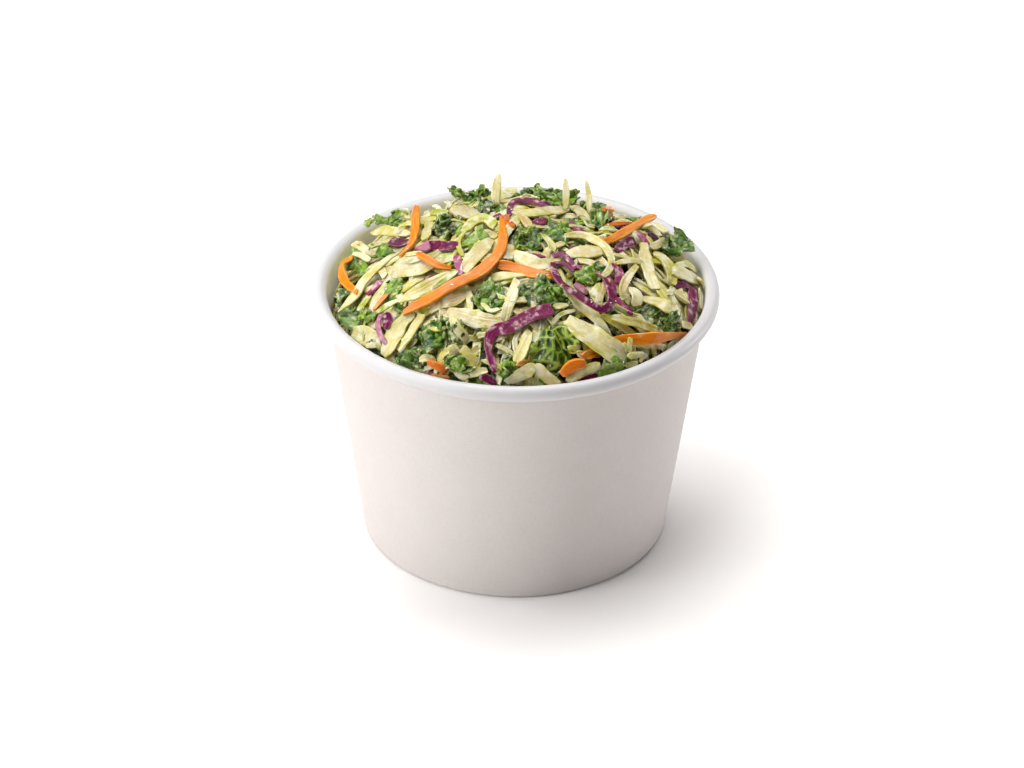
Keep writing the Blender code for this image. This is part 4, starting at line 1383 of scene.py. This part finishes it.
def drop_kale(heap, kinds, rng, x, y, scale):
    """Drop a random bit of kale on the heap, unless it would hide what the photograph shows."""
    length, width = rng.uniform(6, 10) * scale, rng.uniform(5, 8) * scale
    x, y = keep_inside(np.array([x]), np.array([y]), FREE_RADIUS - 0.4 * length)
    up = unit(heap.normal(x, y)[0] + rng.normal(size=3) * 0.25)
    heading = rng.uniform(0, TURN)
    ahead = np.array([math.cos(heading), math.sin(heading), 0.0])
    centre = np.array([x[0], y[0], heap.read(heap.soft, x, y)[0] + 0.4])
    turn = np.arange(12) * TURN / 12
    ring = np.stack([np.cos(turn), np.sin(turn), 0 * turn + 0.3], -1) * width / 2
    if heap.in_the_way(centre + ring) > KALE_MAY_HIDE:
        return
    curl = "curly" if rng.uniform() < CURLY_SHARE else "leafy"
    tone = rng.beta(2, 2.4)
    add_kale(heap, kinds["kale_bits"], rng, centre, ahead, up, length, width, curl, tone,
             FILL_LEAF_MESH, False)


def fill(heap, kinds, rng, count, depth_left, scale, shares):
    """Lay random pieces in the lowest places, as long as they lie depth_left under the outline."""
    odds = np.array(shares)
    purple_share = PURPLE_SHARE * (depth_left > PURPLE_UNDER)
    for number in range(count):
        if number % SMOOTH_FILLED == 0:
            heap.smooth()
        x, y, depth = low_spot(heap, rng)
        kind = FILL_KINDS[rng.choice(len(FILL_KINDS), p=odds / odds.sum())]
        if y < UNSEEN_FROM and (kind == "carrot" or kind == "red_cabbage" and x < PURPLE_FROM):
            kind = "cabbage"
        if x > PURPLE_FROM and kind == "cabbage" and rng.uniform() < purple_share:
            kind = "red_cabbage"
        if depth < depth_left:
            continue
        if kind == "kale":
            drop_kale(heap, kinds, rng, x, y, scale)
        else:
            drop_strip(heap, kinds, rng, kind, x, y, scale)


def drip(heap, kinds, rng):
    """Scatter drops of dressing on what lies on top.

    A drop is a flat ellipsoid: stations along it of half width sqrt(1 - u^2), each a squashed ring.
    """
    u = np.sin(np.linspace(-1.45, 1.45, 6))[:, None]
    turn = (np.arange(8) + 0.5)[None, :] * TURN / 8
    wide = np.sqrt(1 - u**2)
    drop = np.stack([u + 0 * turn, wide * np.cos(turn), 0.3 * wide * np.sin(turn)], -1)
    for _ in range(DROPS):
        radius, bearing, heading = HEAP_RADIUS * math.sqrt(rng.uniform()), *rng.uniform(0, TURN, 2)
        x, y = np.array([radius * math.cos(bearing)]), np.array([radius * math.sin(bearing)])
        z = heap.read(heap.height, x, y)
        size = DROP_SIZES[0] + (DROP_SIZES[1] - DROP_SIZES[0]) * rng.uniform() ** 3
        if heap_outline(x, y)[0] - z[0] > DROP_DEPTH or radius > FREE_RADIUS - 1:
            continue
        up = heap.normal(x, y)[0]
        side = unit(np.cross(up, [math.cos(heading), math.sin(heading), 0.0]))
        axes = np.stack([np.cross(side, up), side * rng.uniform(0.5, 0.9), up]) * size
        centre = np.array([x[0], y[0], z[0] - 0.1])
        kinds["drops"].add(into_cup(centre + drop @ axes))


KALE_KINDS = ("kale_bits", "kale_curly", "kale_leafy", "kale_curl")


def build_slaw():
    """The whole heap."""
    heap = HeapMap()
    build_core(heap)
    rng = np.random.default_rng(HEAP_SEED)
    kinds = {name: Pieces() for name in ("cabbage", "carrot", "red_cabbage", *KALE_KINDS, "drops")}
    for filling in UNDER:
        fill(heap, kinds, rng, *filling)
    lay_out(heap, kinds)
    fill(heap, kinds, rng, *OVER)
    drip(heap, kinds, rng)
    kinds["cabbage"].build("white_cabbage_shreds", cabbage_finish(), "white_cabbage", 30)
    kinds["carrot"].build("carrot_shreds", carrot_finish(), "carrot", 30)
    kinds["red_cabbage"].build("red_cabbage_shreds", red_cabbage_finish(), "red_cabbage", 30)
    kale = kale_finish()
    for name in KALE_KINDS:
        kinds[name].build(name, kale, "kale", 75)
    kinds["drops"].build("dressing_drops", dressing_finish(), "slaw", 75)


# ------------------------------------------------------------------ floor and light
AIM = Vector((0.0, 0.0, 0.04))  # metres, in the middle of the cup


def add_light(name, place, size, power):
    """A square soft light that faces the middle of the cup."""
    data = bpy.data.lights.new(name, "AREA")
    data.size = size
    data.energy = power
    light = bpy.data.objects.new(name, data)
    bpy.context.scene.collection.objects.link(light)
    towards = AIM - Vector(place)
    light.matrix_world = Matrix.Translation(place) @ towards.to_track_quat("-Z", "Y").to_matrix().to_4x4()


FLOOR_REACH = 3.0  # metres each way
FLOOR_COLOUR = (0.97, 0.945, 0.93, 1.0)
SURROUND_COLOUR = (1.0, 0.97, 0.95, 1.0)
SURROUND_STRENGTH = 0.02


def build_studio():
    """A white floor in a dim surround, two soft lights overhead, two at the left, one at the right."""
    mesh = bpy.data.meshes.new("floor")
    corners = [(x * FLOOR_REACH, y * FLOOR_REACH, 0) for x, y in ((-1, -1), (1, -1), (1, 1), (-1, 1))]
    mesh.from_pydata(corners, [], [(0, 1, 2, 3)])
    finish = Finish("floor", 0.9, Specular_IOR_Level=0.0)
    mesh.materials.append(finish.paint(Base_Color=FLOOR_COLOUR))
    floor = bpy.data.objects.new("floor", mesh)
    bpy.context.scene.collection.objects.link(floor)
    world = bpy.data.worlds.new("surround")
    world.use_nodes = True
    world.node_tree.nodes["Background"].inputs["Color"].default_value = SURROUND_COLOUR
    world.node_tree.nodes["Background"].inputs["Strength"].default_value = SURROUND_STRENGTH
    bpy.context.scene.world = world
    add_light("overhead", (-0.28, 0.18, 1.2), 0.9, 11.0)
    add_light("overhead behind", (0.1, 0.6, 1.2), 1.4, 13.2)
    add_light("left", (-1.1, -0.1, 0.5), 1.0, 6.5)
    add_light("left front", (-1.0, -0.7, 0.6), 1.0, 11.7)
    add_light("low right", (1.2, 0.4, 0.15), 0.3, 6.2)
    bpy.context.scene.view_settings.view_transform = "Standard"


set_camera()
build_cup()
build_slaw()
build_studio()
